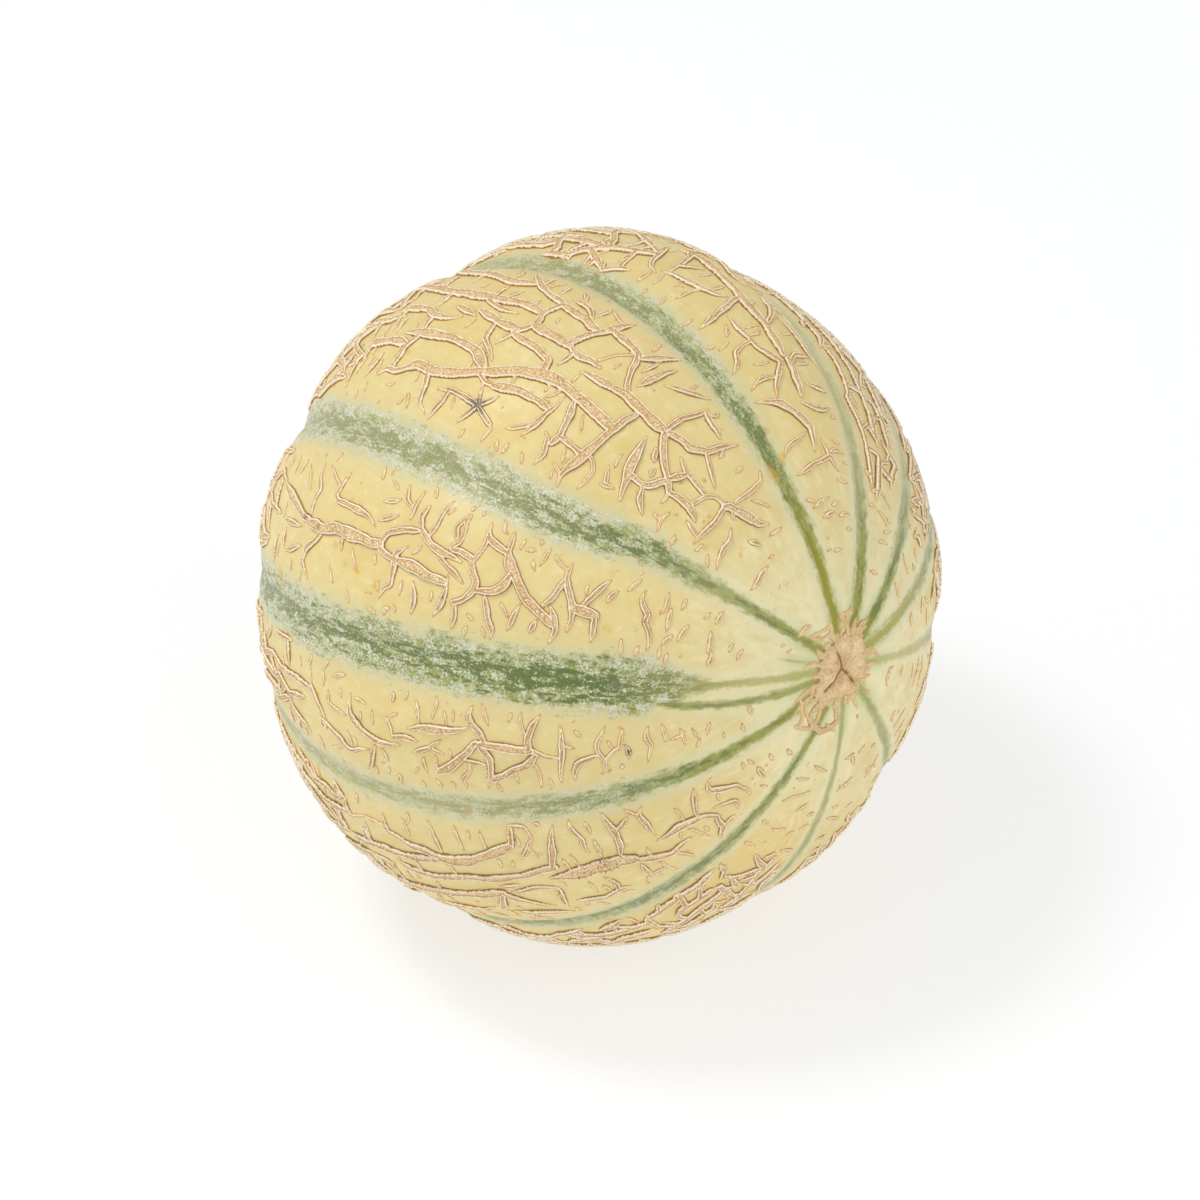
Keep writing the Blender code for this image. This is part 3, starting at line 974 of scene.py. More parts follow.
        (0.40, 106, -19.5, 107, -17, 107.5, -16.3), (0.50, 109.3, -28, 109.2, -24, 110, -22),
        (0.55, 110, -24, 112, -25.5, 114.5, -26), (0.45, 105.3, -7.5, 105.8, -5, 106.8, -2.5),
        (0.35, 92.5, -2.2, 93, -0.5, 95, 1.5), (0.35, 99, -6, 99.3, -3.5),
    ),
    5: (
        (0.40, 23.7, 13.5, 23.9, 20), (0.35, 23.3, 22, 23.7, 28.5), (0.30, 25.8, 10, 26.3, 19),
        (0.40, 28.9, 25, 28.9, 30), (0.45, 31.6, 9, 31.7, 13, 32.2, 20, 32.8, 24),
        (0.45, 30.5, 26.5, 32.8, 24, 35.5, 22.5), (0.35, 33, 24, 34, 27, 33.8, 31),
        (0.40, 35.3, 8, 36.2, 10, 36.5, 14, 37.1, 18),
        (0.65, 33.8, 18.5, 35.5, 19.5, 37.5, 20, 39.8, 18, 41.5, 16, 43, 14, 44.5, 10,
         45, 8.5),
        (0.45, 42, 21, 40.8, 24, 40.8, 28, 41.8, 31),
        (0.50, 44, 14.5, 46, 16, 47.5, 18, 49.5, 20.5),
        (0.40, 47, 9.5, 47.7, 12, 47.6, 15, 47.2, 17), (0.80, 43, 21.5, 45, 22, 48, 23, 50, 23),
        (0.50, 45.5, 25, 45, 28, 45, 32), (0.60, 49.5, 21, 51, 19, 53, 17.3, 55, 16.8),
        (0.45, 51, 8, 52, 10.5, 54, 12, 54.4, 14, 54.6, 16.8),
        (0.60, 49.5, 23.5, 51, 26, 51.8, 31),
        (0.95, 51, 22.5, 54, 23, 58, 23, 62, 22.5, 66, 23, 70, 23.3, 75, 23.8, 80, 23),
        (0.50, 55, 17, 58, 16, 60.5, 16.2), (0.35, 55.5, 9, 56, 12), (0.35, 57, 12.5, 59, 14.5),
        (0.60, 50.5, 34, 53, 31.5, 57, 31, 60, 29.5),
        (0.60, 60.7, 9, 61.2, 13, 62.5, 18, 63.8, 22), (0.60, 58, 24.5, 60, 27.5, 62, 29, 65, 29),
        (0.60, 64.5, 20, 65.5, 18, 67.5, 16.3, 70, 15.5, 73, 14.8, 74.8, 14),
        (0.35, 68, 10.5, 67.8, 14, 67.5, 16), (0.50, 74, 15, 75, 19, 77, 23),
        (0.60, 75, 12.8, 77, 13.5, 79, 17, 81.5, 22), (0.60, 68, 28, 71, 27, 75, 29, 79, 31),
    ),
}


# Dark stains and coarse blisters on the cork: the lobe, angle to the axis,
# angle round it, reach in millimetres and strength.
STAINS = (
    (4, 77.6, -28.4, 4.2, 0.95),
    (4, 83.0, -28.0, 4.0, 0.6),
    (4, 85.0, -31.0, 3.0, 0.5),
    (2, 39.9, -88.3, 2.4, 0.8),
    (3, 45.8, -57.5, 2.0, 0.5),
    (3, 104.0, -53.2, 1.8, 0.8),
    (3, 99.5, -54.1, 1.5, 0.65),
    (3, 92.5, -53.7, 1.4, 0.6),
    (3, 70.6, -59.3, 1.3, 0.7),
    (1, 61.2, -122.5, 1.6, 0.6),
)
BLISTERS = (
    (1, 51.0, -117.0, 8.0, 1.0),
    (3, 37.8, -54.0, 3.5, 0.5),
    (3, 96.0, -53.8, 7.0, 0.35),
)


class CorkField:
    """Ribbons of cork laid on a grid of small cells.

    Places are given as y, millimetres down the grid, and part, the share of
    the grid's width there. Each cell keeps how deep inside a ribbon it is
    and what the ribbon is like.
    """

    def __init__(self, seed, rows, columns, width):
        self.rng = np.random.default_rng(seed)
        self.rows, self.columns = rows, columns
        self.width = width
        self.cell = width / (columns - 1)
        shape = (rows, columns)
        self.edge = np.full(shape, NO_RIBBON_MM, np.float32)
        self.size = np.zeros(shape, np.float32)
        self.tone = np.zeros(shape, np.float32)
        self.seam = np.zeros(shape, np.float32)
        self.gap = np.full(shape, NOTHING_NEAR_MM, np.float32)

    def row_at(self, y):
        """The row of cells at a place."""
        return min(max(int(y / CELL_MM), 0), self.rows - 1)

    def gap_at(self, row, part):
        """The distance to the nearest crack in millimetres."""
        column = int(part * (self.columns - 1) + 0.5)
        return self.gap[row, min(max(column, 0), self.columns - 1)]

    def window(self, y, part, reach):
        """The cells around a place, and their distances from it."""
        row = y / CELL_MM
        tall = int(reach / CELL_MM) + 1
        first = max(int(row) - tall, 0)
        last = min(int(row) + tall + 2, self.rows)
        if first >= last:
            return None
        cell = self.cell[first:last, None]
        column = part * (self.columns - 1)
        wide = int(reach / cell.min()) + 1
        left = max(int(column) - wide, 0)
        right = min(int(column) + wide + 2, self.columns)
        if left >= right:
            return None
        down = (np.arange(first, last)[:, None] - row) * CELL_MM
        over = (np.arange(left, right)[None, :] - column) * cell
        away = np.sqrt(down * down + over * over)
        return (first, last, left, right), away

    def widths_along(self, along, half, joined_start, joined_end, tip):
        """Half the ribbon's width at each step, thinner towards its ends."""
        total = along[-1]
        knots = max(int(total / 3.0) + 2, 3)
        wave = self.rng.uniform(0.78, 1.22, knots)
        widths = half * np.interp(along, np.linspace(0.0, total, knots), wave)
        taper = max(min(total * 0.45, 4.5 * half * tip), 0.6)
        for joined, distance in ((joined_start, along), (joined_end, total - along)):
            reach, least = (2.4 * half, 0.68) if joined else (taper, 0.20)
            share = np.clip(distance / reach, 0.0, 1.0)
            widths = widths * (least + (1.0 - least) * np.sin(share * math.pi / 2))
        return widths

    def lay(self, line, half, joined_start, joined_end, tone=0.0, tip=1.0):
        """Turns a crack into a ribbon of cork with tapered free ends.

        Where it runs into an older ribbon, a seam stays between the two.
        """
        line = np.array(line)
        count = len(line)
        along = np.arange(count) * STEP_MM
        widths = self.widths_along(along, half, joined_start, joined_end, tip)
        for y, part in line[:: 2 if count > 8 else 1]:
            found = self.window(y, part, GAP_REACH_MM)
            if found:
                (first, last, left, right), away = found
                gap = self.gap[first:last, left:right]
                np.minimum(gap, away, out=gap)
        fine = np.arange(0.0, along[-1] + 0.01, CELL_MM)
        ys = np.interp(fine, along, line[:, 0])
        parts = np.interp(fine, along, line[:, 1])
        halves = np.interp(fine, along, widths)
        found = []
        for y, part, half_here in zip(ys, parts, halves):
            seen = self.window(y, part, half_here + RIM_MM + 0.3)
            if seen:
                found.append((*seen, half_here))
        if not found:
            return
        edges = np.array([window for window, _, _ in found])
        top, left = edges[:, 0].min(), edges[:, 2].min()
        bottom, right = edges[:, 1].max(), edges[:, 3].max()
        shape = (bottom - top, right - left)
        own_edge = np.full(shape, NO_RIBBON_MM, np.float32)
        own_size = np.zeros(shape, np.float32)
        for (first, last, near, far), away, half_here in found:
            where = (slice(first - top, last - top), slice(near - left, far - left))
            edge = half_here - away
            nearer = edge > own_edge[where]
            own_edge[where] = np.where(nearer, edge, own_edge[where])
            own_size[where] = np.where(nearer, half_here, own_size[where])
        box = (slice(top, bottom), slice(left, right))
        old = self.edge[box]
        both = np.minimum(own_edge, old) > SEAM_MM * 0.6
        seam = np.clip(1.0 - np.abs(own_edge - old) / SEAM_MM, 0.0, 1.0) * both
        self.seam[box] = np.maximum(self.seam[box], seam)
        nearer = own_edge > old
        self.edge[box] = np.where(nearer, own_edge, old)
        self.size[box] = np.where(nearer, own_size, self.size[box])
        self.tone[box] = np.where(nearer, tone, self.tone[box])

    def follow(self, knots):
        """Even steps along a listed ribbon, with its corners eased."""
        knots = np.array(knots)
        middle = (knots[1:, 0] + knots[:-1, 0]) / 2
        row = np.clip((middle / CELL_MM).astype(int), 0, self.rows - 1)
        step = np.diff(knots, axis=0)
        length = np.hypot(step[:, 0], step[:, 1] * self.width[row])
        reached = np.concatenate([[0.0], np.cumsum(length)])
        count = max(int(reached[-1] / STEP_MM) + 1, 3)
        even = np.linspace(0.0, reached[-1], count)
        line = np.stack([np.interp(even, reached, knots[:, k]) for k in (0, 1)], 1)
        for _ in range(2):
            line[1:-1] = (line[:-2] + line[1:-1] * 2.0 + line[2:]) / 4.0
        row = np.clip((line[:, 0] / CELL_MM).astype(int), 0, self.rows - 1)
        bends = max(int(reached[-1] / 2.5) + 2, 3)
        shake = self.rng.normal(size=(bends, 2)) * SHAKE_MM
        shake[0] = shake[-1] = 0.0
        marks = np.linspace(0, count - 1, bends)
        for k, scale in ((0, 1.0), (1, 1.0 / self.width[row])):
            line[:, k] += np.interp(np.arange(count), marks, shake[:, k]) * scale
        return line

    def lay_by_hand(self, halves, lines):
        """Lays listed ribbons, joined where their ends meet another."""
        for order, (half, line) in enumerate(zip(halves, lines)):
            joined = []
            for end in (line[0], line[-1]):
                wide = self.width[self.row_at(end[0])]
                near = False
                for other, points in enumerate(lines):
                    if other != order:
                        away = (points - end) * (1.0, wide)
                        reach = halves[other] + JOIN_MM
                        near = near or np.hypot(away[:, 0], away[:, 1]).min() < reach
                joined.append(near)
            self.lay(line, half * BOLDER, *joined, self.rng.uniform(-1, 1), tip=1.6)

    def lay_listed(self, ribbons, share=1.0):
        """Lays ribbons listed as half a width and then their places."""
        lines = []
        for numbers in ribbons:
            pairs = zip(numbers[1::2], numbers[2::2])
            lines.append(self.follow([self.place_of(*pair) for pair in pairs]))
        self.lay_by_hand([numbers[0] * share for numbers in ribbons], lines)
        return lines

    def rough(self, cell, height):
        """Smooth random numbers over the grid, up to a height."""
        return soft_noise(self.rng, self.edge.shape, cell) * height

    def values(self):
        """The numbers that the cork keeps on its points."""
        ragged = self.rough(6.0, 0.07) + self.rough(3.0, 0.05)
        edge = self.edge + ragged * np.clip(self.size / 0.6, 0.4, 1.0)
        none = np.zeros(self.edge.shape)
        return {
            "edge": edge,
            "size": self.size,
            "seam": self.seam,
            "cork_tone": self.tone,
            **dict.fromkeys(("relief", "crack", "stain", "pits"), none),
        }


class LobeNet(CorkField):
    """The cracks in one lobe, and the field of cork that they make.

    Headings are 0 away from the blossom end and a quarter turn across the
    lobe.
    """

    def __init__(self, index):
        self.index = index
        length = (NET_LAST - NET_FIRST) * MEAN_HALF_MM
        rows = int(length / CELL_MM) + 1
        wide = (GROOVES[(index + 1) % LOBES][0] - GROOVES[index][0]) % 360.0
        columns = int(wide * NET_COLUMNS_PER_DEGREE) + 1
        self.polar = NET_FIRST + np.arange(rows) * CELL_MM / MEAN_HALF_MM
        self.parts = np.linspace(0.0, 1.0, columns)
        super().__init__(700 + index, rows, columns, lobe_width_mm(index, self.polar))
        self.ribbons = []
        self.joints = []
        start, reach = WEBS[index][:2]
        angle = np.degrees(self.polar)
        growing = ramp(angle, start - 2.0, start + 6.0)
        reach = reach + (0.8 - reach) * ramp(angle, 110.0, 140.0)
        self.reach = reach * growing * ramp(angle, 168.0, 160.0)
        self.bare = []
        for side in (index, index + 1):
            near, spread = STRIPES[side % LOBES][:2]
            widening = stripe_widening(side, angle)
            self.bare.append(near + (spread - near) * widening + BARE_MARGIN_MM)

    def inside(self, row, part, slack, web=True):
        """Whether cork may grow at a place."""
        if row < 0 or row >= self.rows:
            return False
        width = self.width[row]
        left, right = self.bare[0][row], self.bare[1][row]
        if web:
            if self.reach[row] <= 0.0:
                return False
            side = (1.0 - self.reach[row]) / 2.0 * width - slack
            left, right = max(left, side), max(right, side)
        return left <= part * width <= width - right

    def walk(self, place, heading, length, stop, blind, slack, web=True):
        """Grows a crack one way until it joins, leaves its zone or ends.

        It runs nearly straight with a kink now and then, and gives up where
        it would run close beside another crack.
        """
        y, part = place
        line = [(y, part)]
        aim = heading
        gone = 0.0
        beside = 0.0
        while gone < length:
            heading += self.rng.normal() * BEND + (aim - heading) * PULL
            if self.rng.random() < STEP_MM / KINK_GAP_MM:
                heading += self.rng.normal() * KINK
            y += STEP_MM * math.cos(heading)
            row = int(y / CELL_MM)
            if row < 0 or row >= self.rows:
                break
            part += STEP_MM * math.sin(heading) / self.width[row]
            gone += STEP_MM
            if not self.inside(row, part, slack, web):
                break
            line.append((y, part))
            gap = self.gap_at(row, part)
            if gone > blind and gap < stop:
                return line, True
            beside = beside + STEP_MM if gap < BESIDE_MM and gone > blind else 0.0
            if beside > BESIDE_LENGTH_MM:
                break
        return line, False

    def place_of(self, polar, turn):
        """A place in the lobe, from an angle to the axis and one round it."""
        polar = math.radians(polar)
        start = float(groove_turn(self.index, polar))
        wide = float(groove_turn(self.index + 1, polar)) - start
        part = (math.radians(turn) - start) / wide
        return (polar - NET_FIRST) * MEAN_HALF_MM, part

    def random_place(self, first, last):
        """A place picked evenly between two angles to the axis."""
        span = math.cos(first) - math.cos(last)
        polar = math.acos(math.cos(first) - self.rng.random() * span)
        y = (polar - NET_FIRST) * MEAN_HALF_MM
        return y, self.rng.random()

    def grow_both_ways(self, place, heading, length, stop, blind, web=True):
        """A crack grown both ways from a place, and which ends joined."""
        ahead, met_end = self.walk(place, heading, length, stop, blind, 0, web)
        heading += math.pi
        back, met_start = self.walk(place, heading, length, stop, blind, 0, web)
        return back[::-1] + ahead[1:], met_start, met_end

    def grow_ribbons(self):
        """Long ribbons that mostly run from end to end."""
        start, _, spacing, half, _, _ = WEBS[self.index]
        first = math.radians(start)
        first_y = (first - NET_FIRST) * MEAN_HALF_MM
        for _ in range(RIBBON_TRIES):
            y, part = self.random_place(first, NET_LAST)
            row = int(y / CELL_MM)
            if not self.inside(row, part, 0.0):
                continue
            if self.gap_at(row, part) < spacing * 0.62:
                continue
            young = min(max(1.0 - (y - first_y) / YOUNG_MM, 0.0), 1.0)
            tilt = self.rng.normal() * (0.12 + 0.75 * young)
            length = self.rng.uniform(*RIBBON_LENGTH_MM) * (1.0 - 0.6 * young)
            grown = self.grow_both_ways((y, part), tilt, length, 0.4, 2.0)
            line, met_start, met_end = grown
            if len(line) * STEP_MM < SHORTEST_RIBBON_MM:
                continue
            bold = half * self.rng.uniform(0.90, 1.30) * (1.0 - 0.25 * young)
            self.lay(line, bold, met_start, met_end, self.rng.uniform(-1, 1))
            self.ribbons.append(line)

    def far_from_joints(self, place, gap):
        """Whether no other link starts close by."""
        y, part = place
        width = self.width[min(max(int(y / CELL_MM), 0), self.rows - 1)]
        for other_y, other_part in self.joints:
            if math.hypot(other_y - y, (other_part - part) * width) < gap:
                return False
        return True

    def grow_links(self, start):
        """Shorter ribbons that branch off and often reach the next one."""
        half, spacing = WEBS[self.index][3:5]
        total = sum(len(line) for line in self.ribbons) * STEP_MM
        first_y = (math.radians(start) - NET_FIRST) * MEAN_HALF_MM
        for _ in range(int(total / spacing * 3)):
            line = self.ribbons[self.rng.integers(len(self.ribbons))]
            place = line[self.rng.integers(len(line))]
            if place[0] < first_y or not self.far_from_joints(place, spacing * 0.7):
                continue
            side = 1.0 if self.rng.random() < 0.5 else -1.0
            heading = side * (math.pi / 2 + self.rng.normal() * 0.42)
            length = self.rng.uniform(*LINK_LENGTH_MM)
            grown, met = self.walk(place, heading, length, 0.35, 1.6, 1.2)
            if len(grown) * STEP_MM < SHORTEST_LINK_MM:
                continue
            bold = half * self.rng.uniform(0.60, 0.95)
            self.lay(grown, bold, True, met, self.rng.uniform(-1, 1))
            self.joints.append(place)
            if met:
                self.joints.append(grown[-1])
            if self.rng.random() < 0.6:
                self.ribbons.append(grown)

    def grow_dashes(self, tries, first, last, gap, reach, half):
        """Short loose dashes, mostly across the lobe, with pointed ends.

        They grow between two angles to the axis, wherever no other crack is
        within the gap. Their length and half width are picked from a range.
        """
        for _ in range(int(tries)):
            y, part = self.random_place(math.radians(first), math.radians(last))
            row = int(y / CELL_MM)
            if not self.inside(row, part, 0.0, False):
                continue
            if self.gap_at(row, part) < gap:
                continue
            heading = math.pi / 2 + self.rng.normal() * 0.28
            length = self.rng.uniform(*reach) / 2
            stop = gap * 0.4
            line = self.grow_both_ways((y, part), heading, length, stop, 0.0, False)[0]
            if len(line) < 3:
                continue
            bold = self.rng.uniform(*half)
            self.lay(line, bold, False, False, self.rng.uniform(-1, 1), tip=2.0)

    def grow(self):
        """Grows the whole net of the lobe, the longest cracks first."""
        start, dashes = WEBS[self.index][0], WEBS[self.index][5]
        by_hand = self.index in LAID
        lines = self.lay_listed(LAID.get(self.index, ()))
        self.ribbons += [[tuple(point) for point in line] for line in lines]
        self.grow_ribbons()
        self.grow_links(start)
        first = start if by_hand else 13.0
        last = DASHES_LAST
        self.grow_dashes(110 * dashes, start, last, 2.0, (2.0, 6.0), (0.34, 0.52))
        if by_hand:
            self.grow_dashes(60, 44.0, start, 1.8, (1.5, 4.5), (0.32, 0.46))
        self.grow_dashes(26 * dashes, first, start, 3.0, (2.0, 8.0), (0.30, 0.42))
        self.grow_dashes(110 * dashes, 16.0, last, 1.3, (1.0, 2.6), (0.24, 0.34))


def soft_noise(rng, shape, cell):
    """Smooth random numbers from -1 to 1 that change over a few cells."""
    rows, columns = shape
    tall, wide = int(rows / cell) + 2, int(columns / cell) + 2
    coarse = rng.uniform(-1.0, 1.0, (tall, wide))
    y = np.arange(rows) / cell
    x = np.arange(columns) / cell
    row, column = y.astype(int), x.astype(int)
    down = (y - row)[:, None]
    over = (x - column)[None, :]
    down = down * down * (3 - 2 * down)
    over = over * over * (3 - 2 * over)
    first = coarse[np.ix_(row, column)] * (1 - over)
    first = first + coarse[np.ix_(row, column + 1)] * over
    second = coarse[np.ix_(row + 1, column)] * (1 - over)
    second = second + coarse[np.ix_(row + 1, column + 1)] * over
    return first * (1 - down) + second * down


def near_spots(index, polar, turn, spots):
    """How near each place in a lobe is to the lobe's own spots."""
    return spot_field(polar, turn, [spot[1:] for spot in spots if spot[0] == index])


def cork_piece(name, polar, turn, values, group, material):
    """The raised cork of one grid of cells as one piece."""
    near = values["edge"] > -RIM_MM
    kept = near[:-1, :-1] | near[1:, :-1] | near[:-1, 1:] | near[1:, 1:]
    mesh = skin_mesh(name, polar, turn, values, kept)
    return lay_on_melon(name, mesh, group, material)


def net_piece(index, group, material):
    """The raised cork net of one lobe."""
    net = LobeNet(index)
    net.grow()
    polar, part = np.meshgrid(net.polar, net.parts, indexing="ij")
    turn = lobe_turn(index, polar, part)
    values = net.values()
    values["stain"] = near_spots(index, polar, turn, STAINS)
    values["pits"] = near_spots(index, polar, turn, BLISTERS)
    values.update(lobe_numbers(index, part))
    name = "cork_net_%02d" % (index + 1)
    return cork_piece(name, polar, turn, values, group, material)


# --------------------------------------------------- the scars at both ends

# How far a scar's patch of cells reaches from the axis.
SCAR_SPAN_MM = 17.0

# The blossom scar, flat on the end: x towards the lobe at a quarter turn and
# y towards the crown, in millimetres from the axis. The rim of its plate, the
# cracks between its flakes and the fingers of cork round it, each finger with
# half its width first.
SCAR_RIM = (
    (6.6, 0.0), (6.3, 3.8), (4.6, 4.5), (3.1, 5.1), (1.8, 5.9), (0.0, 6.0),
    (-1.5, 5.5), (-3.0, 5.3), (-4.6, 5.0), (-6.0, 3.4), (-6.4, 1.7), (-7.0, 0.2),
    (-8.3, -0.6), (-8.4, -2.6), (-7.6, -4.6), (-5.6, -5.3), (-3.5, -5.5),
    (-2.5, -6.7), (0.0, -6.9), (2.2, -6.5), (3.3, -5.4), (4.9, -5.0),
    (5.7, -4.0), (6.4, -2.0),
)
SCAR_CRACKS = (
    (0.30, (-1.2, 3.8), (-0.3, 2.2), (0.0, 0.6), (-0.3, -0.6)),
    (0.26, (-0.3, -0.6), (-1.5, -1.3), (-3.5, -2.1), (-6.0, -2.4)),
    (0.26, (-0.3, -0.6), (0.8, -2.0), (1.6, -3.7), (2.4, -5.2)),
)
SCAR_FINGERS = (
    (0.55, -0.3, 5.4, -0.9, 7.6, -1.0, 10.0),
    (0.40, -1.1, 9.2, -3.0, 8.8, -5.0, 9.3, -7.0, 9.7),
    (0.40, -1.4, 7.8, -3.2, 7.6, -4.6, 8.0, -6.2, 9.2),
    (0.50, 3.0, 4.8, 3.2, 6.6, 3.1, 8.3, 2.0, 9.6),
    (0.42, 2.0, 9.8, 4.0, 9.3, 5.6, 9.5),
    (0.42, 3.4, 9.2, 4.6, 8.6, 5.4, 9.0),
    (0.50, 4.0, 5.2, 5.2, 6.4, 6.3, 7.4),
    (0.80, 5.4, 4.4, 7.3, 5.8, 9.0, 5.2),
    (0.50, 5.8, 4.0, 8.3, 4.4),
    (0.55, -5.4, 3.4, -7.8, 4.0, -9.9, 4.7),
    (0.60, -4.4, 4.4, -5.7, 5.6, -5.6, 6.6),
    (0.35, -3.0, 5.0, -3.5, 6.2),
    (0.65, -6.5, -0.8, -9.0, -0.4, -11.5, -0.6, -13.5, -1.4),
    (0.50, -8.0, -2.0, -10.5, -2.0, -13.0, -2.8, -14.3, -4.0),
    (0.50, -12.0, -0.8, -12.3, -3.4, -12.0, -5.5, -13.5, -7.0),
    (0.40, -10.6, -2.0, -11.3, -4.0, -10.6, -6.6),
    (0.60, -7.6, -4.4, -9.5, -5.3, -10.6, -6.8),
    (0.55, -14.0, -6.4, -12.0, -7.8, -10.0, -9.0),
    (0.70, -10.2, -6.8, -10.0, -9.0, -8.4, -10.5, -6.0, -11.1, -3.4, -10.8),
    (0.60, -7.2, -5.0, -8.4, -7.0, -9.6, -8.6),
    (0.60, -2.8, -6.0, -3.3, -8.0, -3.5, -9.6, -3.2, -11.0),
    (0.50, -6.6, -9.6, -5.0, -11.0, -4.2, -12.8),
    (0.50, 1.0, -6.4, 1.8, -8.5, 2.6, -11.0),
    (0.35, 4.6, -4.8, 6.4, -5.8, 7.2, -6.0),
    (0.50, 5.8, -3.2, 8.0, -4.0, 10.0, -4.6),
    (0.40, 7.6, -0.8, 9.4, -2.0, 10.4, -3.4),
    (0.70, -9.2, 11.2, -7.5, 11.9, -5.6, 11.4),
    (0.40, 5.4, -8.6, 6.6, -10.2),
    (0.40, -13.6, 11.2, -12.8, 11.2),
    (0.35, -12.4, 9.2, -11.6, 9.6),
)

# The short spikes round the blossom scar's plate, how slim its fingers are
# against the listed widths, and the plate's own half width as a ribbon.
SCAR_TEETH = 34
FINGER_SHARE = 0.66
PLATE_HALF_MM = 1.2

STEM_SCAR_MM = 6.4
STEM_FINGERS = 17
STEM_CORNERS = 24


class EndScar(CorkField):
    """A flat patch of cork over one end of the melon."""

    def __init__(self, seed, sign):
        cells = int(2.0 * SCAR_SPAN_MM / CELL_MM) + 1
        super().__init__(seed, cells, cells, np.full(cells, 2.0 * SCAR_SPAN_MM))
        line = np.linspace(-SCAR_SPAN_MM, SCAR_SPAN_MM, cells)
        self.sign = sign
        self.y, self.x = np.meshgrid(-line, -sign * line, indexing="ij")
        self.radius = np.hypot(self.x, self.y)
        polar = self.radius / HALF_WIDTH_MM
        self.polar = polar if sign > 0 else math.pi - polar
        self.turn = np.arctan2(self.x, self.y)

    def place_of(self, x, y):
        """A place on the patch, from millimetres off the axis."""
        return SCAR_SPAN_MM - y, 0.5 - self.sign * x / (2.0 * SCAR_SPAN_MM)

    def lay_teeth(self, rim, count):
        """Short spikes of cork that stick out all along a rim of points."""
        rim = np.array(rim + rim[:1])
        for order in range(count):
            at = (order + self.rng.uniform(-0.3, 0.3)) * (len(rim) - 1) / count
            at = at % (len(rim) - 1)
            corner = int(at)
            start = rim[corner] + (rim[corner + 1] - rim[corner]) * (at - corner)
            out = start / np.hypot(*start)
            lean = np.array([out[1], -out[0]]) * self.rng.normal() * 0.4
            tip = start + (out + lean) * self.rng.uniform(0.7, 2.2)
            line = self.follow([self.place_of(*start), self.place_of(*tip)])
            self.lay(line, self.rng.uniform(0.28, 0.5), True, False, tip=3.0)

    def lay_plate(self, rim):
        """Fills a rim of points with one wide plate of cork."""
        inside = np.full(self.x.shape, False)
        away = np.full(self.x.shape, NOTHING_NEAR_MM)
        for (ax, ay), (bx, by) in zip(rim, rim[1:] + rim[:1]):
            away = np.minimum(away, self.away_from((ax, ay), (bx, by)))
            crosses = (self.y < ay) != (self.y < by)
            slope = (bx - ax) / (by - ay) if by != ay else 0.0
            inside ^= crosses & (self.x < ax + (self.y - ay) * slope)
        edge = np.where(inside, away, -away)
        edge = edge + (self.rough(4.0, 0.35) + self.rough(2.0, 0.20))
        nearer = edge > self.edge
        self.edge = np.where(nearer, edge, self.edge)
        self.size = np.where(nearer, PLATE_HALF_MM, self.size)

    def away_from(self, start, end):
        """Each cell's distance from a straight stretch."""
        (ax, ay), (bx, by) = start, end
        along_x, along_y = bx - ax, by - ay
        length = along_x**2 + along_y**2
        share = (self.x - ax) * along_x + (self.y - ay) * along_y
        share = np.clip(share / length, 0.0, 1.0)
        return np.hypot(self.x - ax - along_x * share, self.y - ay - along_y * share)

    def crack_field(self, cracks, wider=1.0):
        """How deep each cell lies in a crack, 1 at the bottom."""
        field = np.zeros(self.x.shape)
        wander = self.rough(5.0, 0.15)
        for half, *points in cracks:
            for start, end in zip(points, points[1:]):
                away = self.away_from(start, end) + wander
                field = np.maximum(field, np.clip(1.2 - away / (half * wider), 0.0, 1.0))
        return field

    def pleats(self, count, depth):
        """Fine folds that run outwards from the middle."""
        rows = int(self.radius.max() / 2.0) + 2
        folds = soft_noise(self.rng, (rows * 4, count * 4), 4.0)
        down = np.clip((self.radius / 2.0 * 4).astype(int), 0, rows * 4 - 1)
        over = ((self.turn / (2.0 * math.pi) + 0.5) * (count * 4 - 1)).astype(int)
        return folds[down, over] * depth

    def values(self):
        """The numbers that the scar keeps on its points."""
        return {**super().values(), **lobe_numbers(*find_lobes(self.polar, self.turn))}


def blossom_scar(group, material):
    """The torn corky plate with its fingers where the flower sat."""
    scar = EndScar(41, 1.0)
    scar.lay_listed(SCAR_FINGERS, FINGER_SHARE)
    scar.lay_teeth(SCAR_RIM, SCAR_TEETH)
    scar.lay_plate(SCAR_RIM)
    values = scar.values()
    cracks = scar.crack_field(SCAR_CRACKS)
    furrows = scar.crack_field(SCAR_CRACKS, 5.0)
    inner = ramp(values["edge"], 0.0, 1.5)
    flakes = scar.rough(9.0, 0.34)
    folds = scar.pleats(46, 0.26) + scar.rough(2.5, 0.10)
    values["relief"] = (0.50 + flakes + folds - 0.65 * furrows) * inner * MM
    values["crack"] = cracks * (values["edge"] > 0.0)
    name = "blossom_scar"
    return cork_piece(name, scar.polar, scar.turn, values, group, material)


